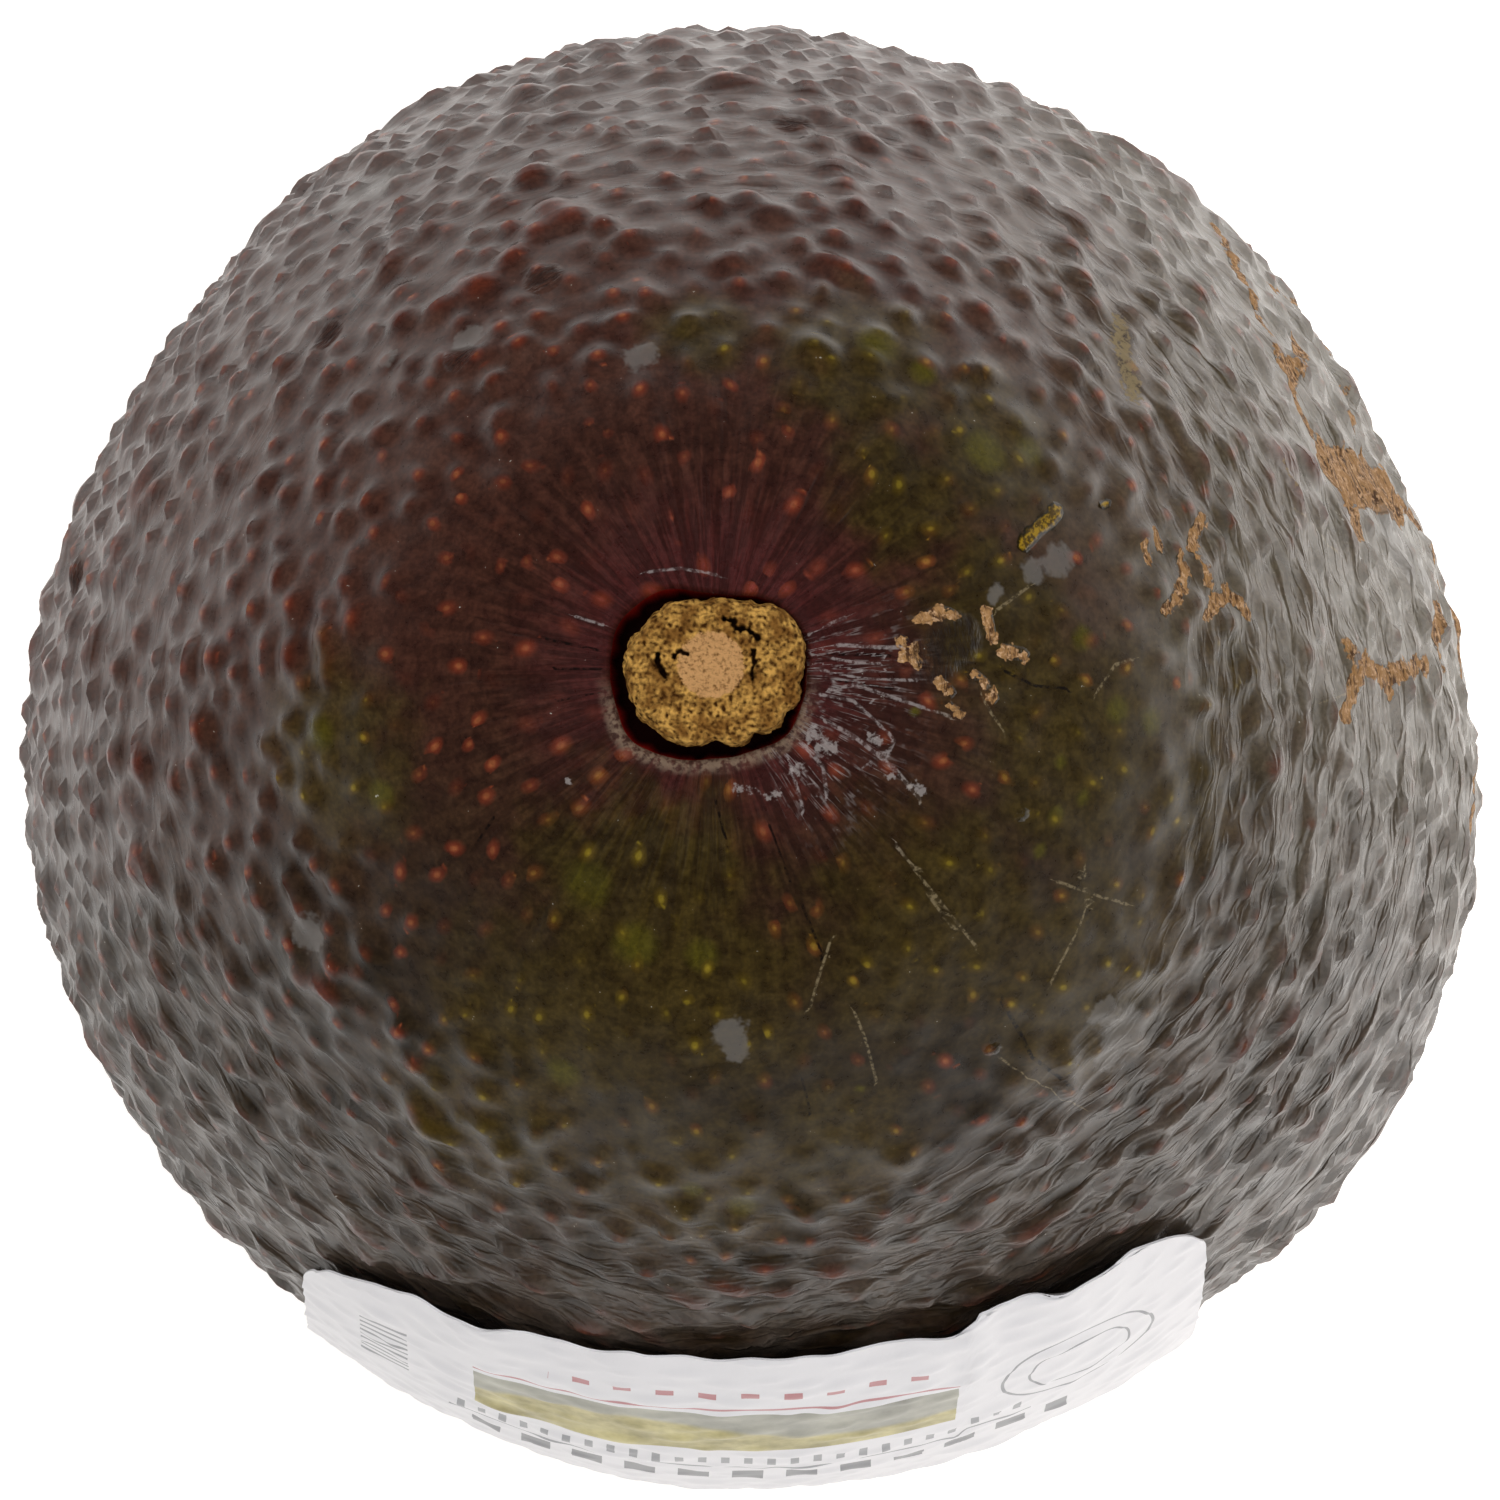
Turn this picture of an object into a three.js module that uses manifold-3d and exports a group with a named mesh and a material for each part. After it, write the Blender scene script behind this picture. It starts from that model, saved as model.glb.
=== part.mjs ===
// A ripe rough-skinned avocado, whole, standing on the small flat spot of its blossom end, stem end up.
// The fruit is one solid: flesh and skin grew as one piece, and its pebbled skin is raised from the surface
// by a formula. In a socket at the top sits the corky stem button, the stub that stays when the fruit is
// clipped from the tree. A paper label wraps the front of the shoulder.
// Millimetres, +Z up through the fruit, the label facing -Y. The origin is the middle of the flat spot.
import * as THREE from "three";
import { ConvexHull } from "three/addons/math/ConvexHull.js";
import { mergeVertices } from "three/addons/utils/BufferGeometryUtils.js";
import Module from "manifold-3d";

const wasm = await Module();
wasm.setup();
const { PI, cos, sin, exp, hypot, atan2, min, max, abs, sqrt } = Math;
const degrees = (angle) => THREE.MathUtils.degToRad(angle);

// Driving dimensions of the fruit
const HEIGHT = 95; // from the flat spot to the stem end
const RADIUS = 35.6; // at half height
const EGG = 0.14; // share by which the stem end is narrower, and the blossom end wider, than an ellipsoid
const FLAT_DEPTH = 1.3; // how far the blossom end is flattened where it rests
const LEAN = { x: -2.2, y: 1.9 }; // how far the stem end stands off the middle of the fruit
const DIMPLE = { depth: 0.9, radius: 7.5 }; // the hollow that the stem button stands in
// The section's departures from a circle: order, share of the radius, and the direction of the first crest
const SECTION = [
  { order: 2, share: 0.008, crest: degrees(-33) },
  { order: 3, share: 0.0078, crest: degrees(-25) },
  { order: 4, share: 0.006, crest: degrees(-3) },
  { order: 5, share: 0.0061, crest: degrees(-22) },
];

// Driving dimensions of the pebbled skin
const PEBBLES = 1900; // over the whole fruit, about 3.4 mm apart
const PEBBLE_HEIGHT = { least: 0.3, most: 0.85 };
const PEBBLE_WIDTH = { least: 0.95, most: 1.4 }; // from the crest out to where the height is about a third
const PEBBLE_JITTER = 0.24; // of their spacing
// The skin round the stem is smooth, out to a distance that is least towards one side
const SMOOTH = { near: 11.5, far: 20, side: degrees(120), fade: 6, kept: 0.12 };

// Driving dimensions of the stem button and its socket
const BUTTON = { width: 8.5, depth: 7.0, height: 3.3, proud: 0.9 };
const BUTTON_PIT = { radius: 0.62, depth: 0.25 }; // ring groove, at a share of the radius
const SOCKET_GAP = 0.4; // all round the button
const SOCKET_SHIFT = { x: -0.15, y: -0.25 }; // the gap is widest at the lower left
const SOCKET_FLOOR_GAP = 0.3;

// Driving dimensions of the label
const LABEL = { width: 47, height: 36, corner: 4.5, thickness: 0.4, lift: 1.3 };
const LABEL_PLACE = { down: 59.6, turn: degrees(-2) }; // its middle, down the skin from the stem end
// A straight edge of flat paper falls away to both sides by this much per mm squared, less further down
const LABEL_DROOP = { left: 0.036, right: 0.021, none: 84 };
// The fold that takes up the paper's slack: right of it, the upper edge steps up
const LABEL_PUCKER = { at: 10.8, rise: 1.9, width: 0.8, ridge: 0.4, ridgeWidth: 1.2 };
const LABEL_WAVE = { height: 0.35, length: 13, kept: 0.35 }; // the share kept away from the upper edge

// A number from 0 to 1 that looks random and is always the same for the same two whole numbers
function scatter(index, kind) {
  const big = sin(index * 12.9898 + kind * 78.233) * 43758.5453;
  return big - Math.floor(big);
}

const smoothStep = (x, from, to) => THREE.MathUtils.smoothstep(x, from, to);

// The plain outline: radius and height at an angle from 0 at the stem end to PI at the blossom end
const HALF_HEIGHT = (HEIGHT + FLAT_DEPTH) / 2;
const plainRadius = (angle) => RADIUS * sin(angle) * (1 - EGG * cos(angle));
const plainHeight = (angle) => HALF_HEIGHT * (1 + cos(angle)) - FLAT_DEPTH;

// Running length and skin area from the stem end down, at even steps of the angle
const STEPS = 400;
const lengthTo = [0];
const areaTo = [0];
for (let i = 1; i <= STEPS; i++) {
  const [upper, lower] = [((i - 1) * PI) / STEPS, (i * PI) / STEPS];
  const run = hypot(plainRadius(lower) - plainRadius(upper), plainHeight(lower) - plainHeight(upper));
  lengthTo.push(lengthTo[i - 1] + run);
  areaTo.push(areaTo[i - 1] + run * (plainRadius(upper) + plainRadius(lower)));
}

// The angle at which a running table reaches a value
function angleAt(table, value) {
  let i = 1;
  while (i < STEPS && table[i] < value) i++;
  const part = (value - table[i - 1]) / (table[i] - table[i - 1]);
  return ((i - 1 + part) * PI) / STEPS;
}

// A point of the smooth fruit, at an angle from the stem end and a bearing round the axis
function smoothPoint(angle, bearing) {
  let swell = 1;
  for (const { order, share, crest } of SECTION) swell += share * sin(angle) * cos(order * (bearing - crest));
  const radius = plainRadius(angle) * swell;
  const towardsStem = ((1 + cos(angle)) / 2) ** 2;
  const dip = angle < PI / 2 ? DIMPLE.depth * exp(-((radius / DIMPLE.radius) ** 2)) : 0;
  return new THREE.Vector3(
    radius * cos(bearing) + LEAN.x * towardsStem,
    radius * sin(bearing) + LEAN.y * towardsStem,
    plainHeight(angle) - dip,
  );
}

// The way out of the fruit at a point of it
function outward(angle, bearing) {
  const step = 0.01;
  const kept = min(max(angle, 2 * step), PI - 2 * step);
  const along = smoothPoint(kept + step, bearing).sub(smoothPoint(kept - step, bearing));
  const round = smoothPoint(kept, bearing + step).sub(smoothPoint(kept, bearing - step));
  return along.cross(round).normalize();
}

// Where a unit vector lands on the fruit, so that even spacing on a ball stays even spacing on the skin
function placeOf(unit) {
  const share = (1 - min(max(unit.z, -1), 1)) / 2;
  return { angle: angleAt(areaTo, share * areaTo[STEPS]), bearing: atan2(unit.y, unit.x) };
}

// 0 on the smooth skin round the stem, rising to 1 on the pebbled skin
function roughness(angle, bearing) {
  const middle = (SMOOTH.near + SMOOTH.far) / 2;
  const swing = (SMOOTH.far - SMOOTH.near) / 2;
  const start = middle - swing * cos(bearing - SMOOTH.side);
  const distance = angle < PI / 2 ? plainRadius(angle) : 2 * RADIUS;
  return SMOOTH.kept + (1 - SMOOTH.kept) * smoothStep(distance, start, start + SMOOTH.fade);
}

// The pebbles: a sunflower spiral over the ball, each crest moved a little off it
const GOLDEN_TURN = PI * (3 - sqrt(5));
const SPACING = sqrt((4 * PI) / PEBBLES);
const pebbles = Array.from({ length: PEBBLES }, (_, i) => {
  const z = 1 - (2 * i + 1) / PEBBLES;
  const ring = sqrt(1 - z * z);
  const unit = new THREE.Vector3(ring * cos(i * GOLDEN_TURN), ring * sin(i * GOLDEN_TURN), z);
  const push = new THREE.Vector3(scatter(i, 1) - 0.5, scatter(i, 2) - 0.5, scatter(i, 3) - 0.5);
  unit.addScaledVector(push, 2 * PEBBLE_JITTER * SPACING).normalize();
  const place = placeOf(unit);
  return {
    unit,
    point: smoothPoint(place.angle, place.bearing),
    height: THREE.MathUtils.lerp(PEBBLE_HEIGHT.least, PEBBLE_HEIGHT.most, scatter(i, 4)),
    width: THREE.MathUtils.lerp(PEBBLE_WIDTH.least, PEBBLE_WIDTH.most, scatter(i, 5)),
  };
});

// How high the pebbles near a point raise it
function pebbleHeight(point) {
  let height = 0;
  for (const pebble of pebbles) {
    const apart = pebble.point.distanceToSquared(point) / pebble.width ** 2;
    if (apart < 9) height += pebble.height * exp(-apart);
  }
  return height;
}

function skinPoint(unit) {
  const { angle, bearing } = placeOf(unit);
  const point = smoothPoint(angle, bearing);
  return point.addScaledVector(outward(angle, bearing), roughness(angle, bearing) * pebbleHeight(point));
}

function geometryOf(points, triangles) {
  const geometry = new THREE.BufferGeometry().setFromPoints(points);
  geometry.setIndex(triangles);
  return geometry;
}

// A closed geometry as a solid that can be cut, and back
function solidOf(geometry) {
  const bare = geometry.clone().deleteAttribute("normal").deleteAttribute("uv");
  const merged = mergeVertices(bare, 1e-4);
  return new wasm.Manifold(
    new wasm.Mesh({
      numProp: 3,
      vertProperties: merged.attributes.position.array,
      triVerts: new Uint32Array(merged.index.array),
    }),
  );
}

function geometryFrom(solid) {
  const { vertProperties, triVerts } = solid.getMesh();
  const geometry = new THREE.BufferGeometry();
  geometry.setAttribute("position", new THREE.BufferAttribute(vertProperties, 3));
  geometry.setIndex(new THREE.BufferAttribute(triVerts, 1));
  geometry.computeVertexNormals();
  return geometry;
}

// The pebbled body. Each pebble is a corner of the net that the hull of the ball's points gives. The middle
// of each triangle of that net is the low spot between three pebbles, so every pebble is a small hill.
function pebbledBody() {
  const corner = new Map(pebbles.map((pebble, i) => [pebble.unit, i]));
  const hull = new ConvexHull().setFromPoints(pebbles.map((pebble) => pebble.unit));
  const lowSpot = new Map(hull.faces.map((face, i) => [face, PEBBLES + i]));
  const units = pebbles.map((pebble) => pebble.unit);
  const triangles = [];
  for (const face of hull.faces) {
    const middle = new THREE.Vector3();
    let edge = face.edge;
    do {
      middle.add(edge.head().point);
      triangles.push(corner.get(edge.tail().point), lowSpot.get(edge.twin.face), lowSpot.get(face));
      edge = edge.next;
    } while (edge !== face.edge);
    units.push(middle.normalize());
  }
  return geometryOf(units.map(skinPoint), triangles);
}

// The button's uneven round outline, as a share of a circle
function buttonOutline(bearing) {
  const squarish = 1 - 0.04 * cos(4 * bearing);
  return squarish + 0.014 * cos(3 * bearing - 1.1) + 0.01 * sin(7 * bearing) + 0.008 * cos(11 * bearing + 2);
}

// A turned solid whose every ring is pressed into the button's outline. Profile points are (share of the
// radius, height), from the axis at the bottom to the axis at the top.
function buttonShaped(profile, segments, grow, uneven) {
  const points = profile.map(([share, height]) => new THREE.Vector2(share, height));
  const geometry = new THREE.LatheGeometry(points, segments);
  geometry.rotateX(PI / 2); // a lathe turns round Y, and the button stands along Z
  const position = geometry.attributes.position;
  for (let i = 0; i < position.count; i++) {
    const [x, y, z] = [position.getX(i), position.getY(i), position.getZ(i)];
    const share = hypot(x, y);
    const bearing = share > 0 ? atan2(y, x) : 0;
    const outline = buttonOutline(bearing);
    const reachX = (BUTTON.width / 2) * outline + grow;
    const reachY = (BUTTON.depth / 2) * outline + grow;
    const bumps = uneven * share * (sin(5 * bearing + 6 * share) + 0.6 * cos(9 * bearing - 4 * share));
    position.setXYZ(i, x * reachX, y * reachY, z + (z > BUTTON.height / 2 ? bumps : 0));
  }
  return geometry;
}

// The stub of corky stem: a plug with a rolled edge, a ring groove, and the woody middle standing up again
function buttonGeometry() {
  const { height } = BUTTON;
  const groove = height - BUTTON_PIT.depth;
  const profile = [
    [0, 0],
    [0.45, 0],
    [0.8, 0.1],
    [0.9, 0.5],
    [0.95, height - 1.1],
    [1, height - 0.6],
    [0.97, height - 0.2],
    [0.87, height],
    [0.75, height - 0.02],
    [BUTTON_PIT.radius, groove],
    [0.48, groove + 0.12],
    [0.34, height - 0.02],
    [0.17, height + 0.05],
    [0, height + 0.03],
  ];
  return buttonShaped(profile, 44, 0, 0.09);
}

function socketGeometry() {
  const depth = BUTTON.height - BUTTON.proud + SOCKET_FLOOR_GAP;
  const above = 4; // well clear of the skin
  const profile = [
    [0, 0],
    [0.85, 0],
    [0.96, 0.35],
    [1, 1],
    [1, depth + above],
    [0, depth + above],
  ];
  return buttonShaped(profile, 44, SOCKET_GAP, 0);
}

// The label, from its flat width and height to its place on the fruit
function labelRise(across, up) {
  const { at, rise, width } = LABEL_PUCKER;
  const towardsTop = 0.5 + up / LABEL.height;
  return rise * towardsTop * smoothStep(across, at - width, at);
}

function labelPoint(across, up, out) {
  const raised = up + labelRise(across, up);
  const turned = {
    across: across * cos(LABEL_PLACE.turn) - raised * sin(LABEL_PLACE.turn),
    up: across * sin(LABEL_PLACE.turn) + raised * cos(LABEL_PLACE.turn),
  };
  const straight = LABEL_PLACE.down - turned.up;
  const most = turned.across < 0 ? LABEL_DROOP.left : LABEL_DROOP.right;
  const droop = most * (1 - straight / LABEL_DROOP.none);
  const down = straight + droop * turned.across ** 2;
  const angle = angleAt(lengthTo, down);
  const bearing = -PI / 2 + turned.across / plainRadius(angle);
  const nearTop = smoothStep(up, 0, LABEL.height / 2);
  const swing = 0.5 + 0.5 * sin((2 * PI * across) / LABEL_WAVE.length);
  const wave = LABEL_WAVE.height * (LABEL_WAVE.kept + (1 - LABEL_WAVE.kept) * nearTop) * swing;
  const fromFold = (across - LABEL_PUCKER.at) / LABEL_PUCKER.ridgeWidth;
  const ridge = LABEL_PUCKER.ridge * exp(-(fromFold ** 2)) * nearTop;
  const point = smoothPoint(angle, bearing);
  return point.addScaledVector(outward(angle, bearing), LABEL.lift + wave + ridge + out);
}

function labelGeometry() {
  const { width, height, corner, thickness } = LABEL;
  const geometry = new THREE.BoxGeometry(1, height, thickness, 34, 20, 1);
  const position = geometry.attributes.position;
  for (let i = 0; i < position.count; i++) {
    const up = position.getY(i);
    const intoCorner = max(0, abs(up) - (height / 2 - corner));
    const halfWidth = width / 2 - corner + sqrt(corner ** 2 - intoCorner ** 2);
    const placed = labelPoint(2 * position.getX(i) * halfWidth, up, position.getZ(i) + thickness / 2);
    position.setXYZ(i, placed.x, placed.y, placed.z);
  }
  return geometry;
}

function material(color, roughnessOfIt) {
  return new THREE.MeshStandardMaterial({ color, roughness: roughnessOfIt, metalness: 0 });
}

function named(name, geometry, surface) {
  const mesh = new THREE.Mesh(geometry, surface);
  mesh.name = name;
  return mesh;
}

// The body is cut flat where it rests, and hollowed for the button
const stemEnd = smoothPoint(0, 0);
const restCut = new THREE.BoxGeometry(2 * RADIUS, 2 * RADIUS, 10).translate(0, 0, -5);
const socketPlace = new THREE.Vector3(
  stemEnd.x + SOCKET_SHIFT.x,
  stemEnd.y + SOCKET_SHIFT.y,
  stemEnd.z + BUTTON.proud - BUTTON.height - SOCKET_FLOOR_GAP,
);
const socketCut = socketGeometry().translate(...socketPlace);
const fruitSolid = solidOf(pebbledBody()).subtract(solidOf(restCut)).subtract(solidOf(socketCut));
const fruit = named("fruit", geometryFrom(fruitSolid), material(0x3b2a24, 0.42));

const stemButton = named("stem_button", buttonGeometry(), material(0xa5743c, 0.95));
stemButton.position.set(stemEnd.x, stemEnd.y, stemEnd.z + BUTTON.proud - BUTTON.height);

const label = named("label", labelGeometry(), material(0xe7e6ea, 0.38));

// The whole is moved so that the flat spot's middle, under the middle of the box round it, is the origin
const avocado = new THREE.Group();
avocado.add(fruit, stemButton, label);
const box = new THREE.Box3().setFromObject(avocado, true);
const middle = box.getCenter(new THREE.Vector3());
avocado.position.set(-middle.x, -middle.y, 0);

export default avocado;
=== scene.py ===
import math

import bpy
import numpy as np
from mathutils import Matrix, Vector, kdtree, noise


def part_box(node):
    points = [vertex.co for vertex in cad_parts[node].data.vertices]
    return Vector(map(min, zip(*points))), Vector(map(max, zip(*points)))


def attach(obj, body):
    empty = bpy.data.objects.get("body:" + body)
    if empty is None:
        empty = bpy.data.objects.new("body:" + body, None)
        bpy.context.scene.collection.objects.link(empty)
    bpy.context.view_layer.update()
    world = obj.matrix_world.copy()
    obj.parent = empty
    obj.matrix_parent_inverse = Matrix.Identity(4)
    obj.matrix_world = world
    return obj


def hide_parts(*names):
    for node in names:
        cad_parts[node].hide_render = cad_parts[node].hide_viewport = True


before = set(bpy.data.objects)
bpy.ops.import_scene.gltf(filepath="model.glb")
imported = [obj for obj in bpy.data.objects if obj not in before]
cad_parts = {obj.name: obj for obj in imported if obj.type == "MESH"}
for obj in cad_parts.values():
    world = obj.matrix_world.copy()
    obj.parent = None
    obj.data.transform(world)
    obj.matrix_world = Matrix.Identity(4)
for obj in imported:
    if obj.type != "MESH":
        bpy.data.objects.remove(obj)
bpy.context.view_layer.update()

# The camera looks down on the stem end from half a metre, a little from the label's side of straight
# above, through a long lens that fills the square frame with the fruit.
MM = 0.001
CAMERA_DISTANCE = 500 * MM
CAMERA_AIM = Vector((-0.2 * MM, 0.65 * MM, 44 * MM))  # the widest part of the fruit
CAMERA_ELEVATION = math.radians(87.5)
FRAME_WIDTH = 75.15 * MM  # what the frame takes in at the fruit's widest part
SENSOR_WIDTH = 36.0

camera_data = bpy.data.cameras.new("camera")
camera_data.sensor_width = SENSOR_WIDTH
camera_data.lens = SENSOR_WIDTH * CAMERA_DISTANCE / FRAME_WIDTH
camera_data.clip_start = 10 * MM
camera = bpy.data.objects.new("camera", camera_data)
camera_away = Vector((0.0, -math.cos(CAMERA_ELEVATION), math.sin(CAMERA_ELEVATION)))
camera.location = CAMERA_AIM + CAMERA_DISTANCE * camera_away
camera.rotation_euler = camera_away.to_track_quat("Z", "Y").to_euler()
bpy.context.scene.collection.objects.link(camera)
bpy.context.scene.camera = camera
bpy.context.scene.view_settings.view_transform = "Standard"

# A table of white acrylic, lit from below near the fruit and most on its right, in a dark room with low pale
# walls. The skin mirrors only what is level with it or lower, so it turns pale towards its rim. Three soft
# panels light it from above, flagged so that the wax doesn't mirror them.
FLOOR_SIZE = 4.0
PANELS = [  # bearing round the fruit and height above the floor in degrees, width in metres, power in watts
    (110, 58, 0.7, 3.2),
    (225, 58, 0.7, 3.1),
    (350, 58, 0.7, 3.1),
]
PANEL_DISTANCE = 0.9
ROOM_STRENGTH = 0.05
WALL_STRENGTHS = (0.2, 0.4)  # left and right
ROOM_EDGE, WALL_TOP = 0.30, -0.05  # how far up a way points where the room begins and the wall ends
TABLE_GLOW = (0.6, 1.45)  # left and right of the fruit
GLOW_LEFT, GLOW_RIGHT = -0.05, 0.12  # metres from the middle, where those two begin
FAR_GLOW = 0.12
GLOW_NEAR, GLOW_FAR = 0.1, 0.45  # metres from the fruit


def linear(hex_colour, alpha=1.0):
    """An sRGB hex colour as linear red, green, blue and alpha."""
    shares = [int(hex_colour[i : i + 2], 16) / 255 for i in (1, 3, 5)]
    return [s / 12.92 if s <= 0.04045 else ((s + 0.055) / 1.055) ** 2.4 for s in shares] + [alpha]


def node(tree, kind, inputs=(), out=0, **settings):
    """Adds a node with its settings, sets or links its inputs, and gives back one of its outputs."""
    made = tree.nodes.new("ShaderNode" + kind)
    for name, value in settings.items():
        setattr(made, name, value)
    for name, value in inputs.items() if isinstance(inputs, dict) else enumerate(inputs):
        if isinstance(value, bpy.types.NodeSocket):
            tree.links.new(value, made.inputs[name])
        else:
            made.inputs[name].default_value = value
    return made.outputs[out]


# White acrylic: matte, with no texture of its own, and glowing a little, so only its soft shadow shows.
acrylic = bpy.data.materials.new("lit_white_acrylic")
acrylic.use_nodes = True
acrylic_shader = acrylic.node_tree.nodes["Principled BSDF"]
acrylic_shader.inputs["Base Color"].default_value = linear("#f4f4f2")
acrylic_shader.inputs["Roughness"].default_value = 0.9
acrylic_shader.inputs["Emission Color"].default_value = linear("#fff9f4")
acrylic.cycles.emission_sampling = "NONE"  # so wide a glow renders with less noise this way
table_tree = acrylic.node_tree
table_place = node(table_tree, "TexCoord", out=3)
table_x = node(table_tree, "SeparateXYZ", [table_place])
near_glow = node(table_tree, "MapRange", [table_x, GLOW_LEFT, GLOW_RIGHT, *TABLE_GLOW],
                 interpolation_type="SMOOTHSTEP")
table_span = node(table_tree, "VectorMath", [table_place], operation="LENGTH", out=1)
glow = node(table_tree, "MapRange", [table_span, GLOW_NEAR, GLOW_FAR, near_glow, FAR_GLOW])
table_tree.links.new(glow, acrylic_shader.inputs["Emission Strength"])

bpy.ops.object.select_all(action="DESELECT")
bpy.ops.mesh.primitive_plane_add(size=FLOOR_SIZE, location=(0, 0, 0))
floor = bpy.context.object
floor.name = "floor"
floor.data.materials.append(acrylic)

room = bpy.data.worlds.new("dim_room")
room.use_nodes = True
room_tree = room.node_tree
rightward, _, upward = node(room_tree, "SeparateXYZ", [node(room_tree, "TexCoord")]).node.outputs
wall_strength = node(room_tree, "MapRange", [rightward, -0.7, 0.7, *WALL_STRENGTHS])
brightness = node(room_tree, "MapRange", [upward, WALL_TOP, ROOM_EDGE, wall_strength, ROOM_STRENGTH],
                  interpolation_type="SMOOTHSTEP")
background = room_tree.nodes["Background"]
room_tree.links.new(brightness, background.inputs["Strength"])
background.inputs["Color"].default_value = linear("#fff9f4")
bpy.context.scene.world = room
bpy.context.scene.cycles.max_bounces = 3  # a dark fruit passes on little light

for index, (bearing, height, width, power) in enumerate(PANELS):
    panel_data = bpy.data.lights.new(f"panel_{index}", "AREA")
    panel_data.shape = "DISK"
    panel_data.size = width
    panel_data.energy = power
    panel = bpy.data.objects.new(f"panel_{index}", panel_data)
    around, above = math.radians(bearing), math.radians(height)
    way = Vector((math.cos(around) * math.cos(above), math.sin(around) * math.cos(above), math.sin(above)))
    panel.location = CAMERA_AIM + PANEL_DISTANCE * way
    panel.rotation_euler = way.to_track_quat("Z", "Y").to_euler()
    panel.visible_glossy = False  # flagged off, as a polariser does in the studio
    bpy.context.scene.collection.objects.link(panel)

# The fruit: skin and flesh grown as one body. It is a little egg-shaped, swells unevenly round its axis, and
# has a hollow at the stem end with a socket in it. Its skin is raised in pebbles, each tipped with a small
# corky pore, except round the stem, where the pebbles die away into streaks that run out from the socket.
HEIGHT = 95.0
RADIUS = 35.6
EGG = 0.14
FLAT_DEPTH = 1.3
LEAN = np.array([-2.2, 1.9])
DIMPLE_DEPTH, DIMPLE_RADIUS = 0.9, 7.5
SECTION = [  # order, share of the radius, direction of the first crest in degrees
    (2, 0.0080, -33),
    (3, 0.0078, -25),
    (4, 0.0060, -3),
    (5, 0.0061, -22),
]
BUTTON_WIDTH, BUTTON_DEPTH = 8.5, 7.0
SOCKET_GAP = 0.34
SOCKET_SHIFT = np.array([-0.28, -0.14])
SOCKET_DEPTH = 2.7
LIP_HEIGHT, LIP_WIDTH = 0.16, 0.7
SEGMENTS, RINGS = 440, 224  # round the axis, and from the stem to the blossom end
FLOOR_RINGS, WALL_RINGS, LIP_RINGS, UPPER_RINGS = 5, 6, 8, 118
PEBBLES = 4400
PEBBLE_JITTER = 0.3
PEBBLE_LIMIT = 1.0
SMOOTH_NEAR, SMOOTH_FAR, SMOOTH_SIDE, SMOOTH_FADE = 11.0, 20.0, math.radians(120), 7.0
DOME_SIDE = math.radians(125)  # the pebbles stand singly on this side, and run into creases on the other
CREASE_STRETCH = 2.8  # creases are drawn out round the fruit by this much
CREASE_START, CREASE_SWING, CREASE_FADE = 20.5, 2.5, 8.0  # mm from the stem, later towards the label
CREASE_HEIGHT, STREAK_HEIGHT = 0.3, 0.2
UNEVEN_SIZE, UNEVEN_HEIGHT, UNEVEN_SHIFT = 9.0, 0.35, -0.16  # slow swells of the whole skin
GRAIN_SPAN, GRAIN_RISE = 1.1, 0.07  # finer unevenness among the pebbles
STREAKS_ROUND, STREAK_RUN = 9.0, 0.11
LIP_REACH, LIP_ROUNDING = 1.6, 0.22
MOUTH_BLEND = 7.0  # how far from the socket its squarish outline fades to a circle
PAST_WIDEST = 4.0  # how far below the widest line the close rings of the mesh go on

rng = np.random.default_rng(11)
half_height = (HEIGHT + FLAT_DEPTH) / 2


def plain_radius(angle):
    return RADIUS * np.sin(angle) * (1 - EGG * np.cos(angle))


def plain_height(angle):
    return half_height * (1 + np.cos(angle)) - FLAT_DEPTH


def smooth_point(angle, bearing):
    """Points in mm of the fruit without its pebbles, at an angle from the stem end and a bearing."""
    swell = 1.0
    for order, share, crest in SECTION:
        swell = swell + share * np.sin(angle) * np.cos(order * (bearing - math.radians(crest)))
    radius = plain_radius(angle) * swell
    towards_stem = ((1 + np.cos(angle)) / 2) ** 2
    dip = np.where(angle < np.pi / 2, DIMPLE_DEPTH * np.exp(-((radius / DIMPLE_RADIUS) ** 2)), 0.0)
    x = radius * np.cos(bearing) + LEAN[0] * towards_stem
    y = radius * np.sin(bearing) + LEAN[1] * towards_stem
    return np.stack([x, y, plain_height(angle) - dip], axis=-1)


def unit(vectors):
    return vectors / np.maximum(np.linalg.norm(vectors, axis=-1, keepdims=True), 1e-9)


def directions(angle, bearing):
    """Unit vectors down the skin, round it and out of it."""
    kept = np.clip(angle, 0.02, np.pi - 0.02)
    down = unit(smooth_point(kept + 0.01, bearing) - smooth_point(kept - 0.01, bearing))
    around = unit(smooth_point(kept, bearing + 0.01) - smooth_point(kept, bearing - 0.01))
    return down, around, unit(np.cross(down, around))


def smooth_step(x, start, end):
    t = np.clip((x - start) / (end - start), 0, 1)
    return t * t * (3 - 2 * t)


def button_outline(bearing):
    """The stem button's uneven round outline, as a share of a circle."""
    squarish = 1 - 0.04 * np.cos(4 * bearing) + 0.014 * np.cos(3 * bearing - 1.1)
    return squarish + 0.01 * np.sin(7 * bearing) + 0.008 * np.cos(11 * bearing + 2)


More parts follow.
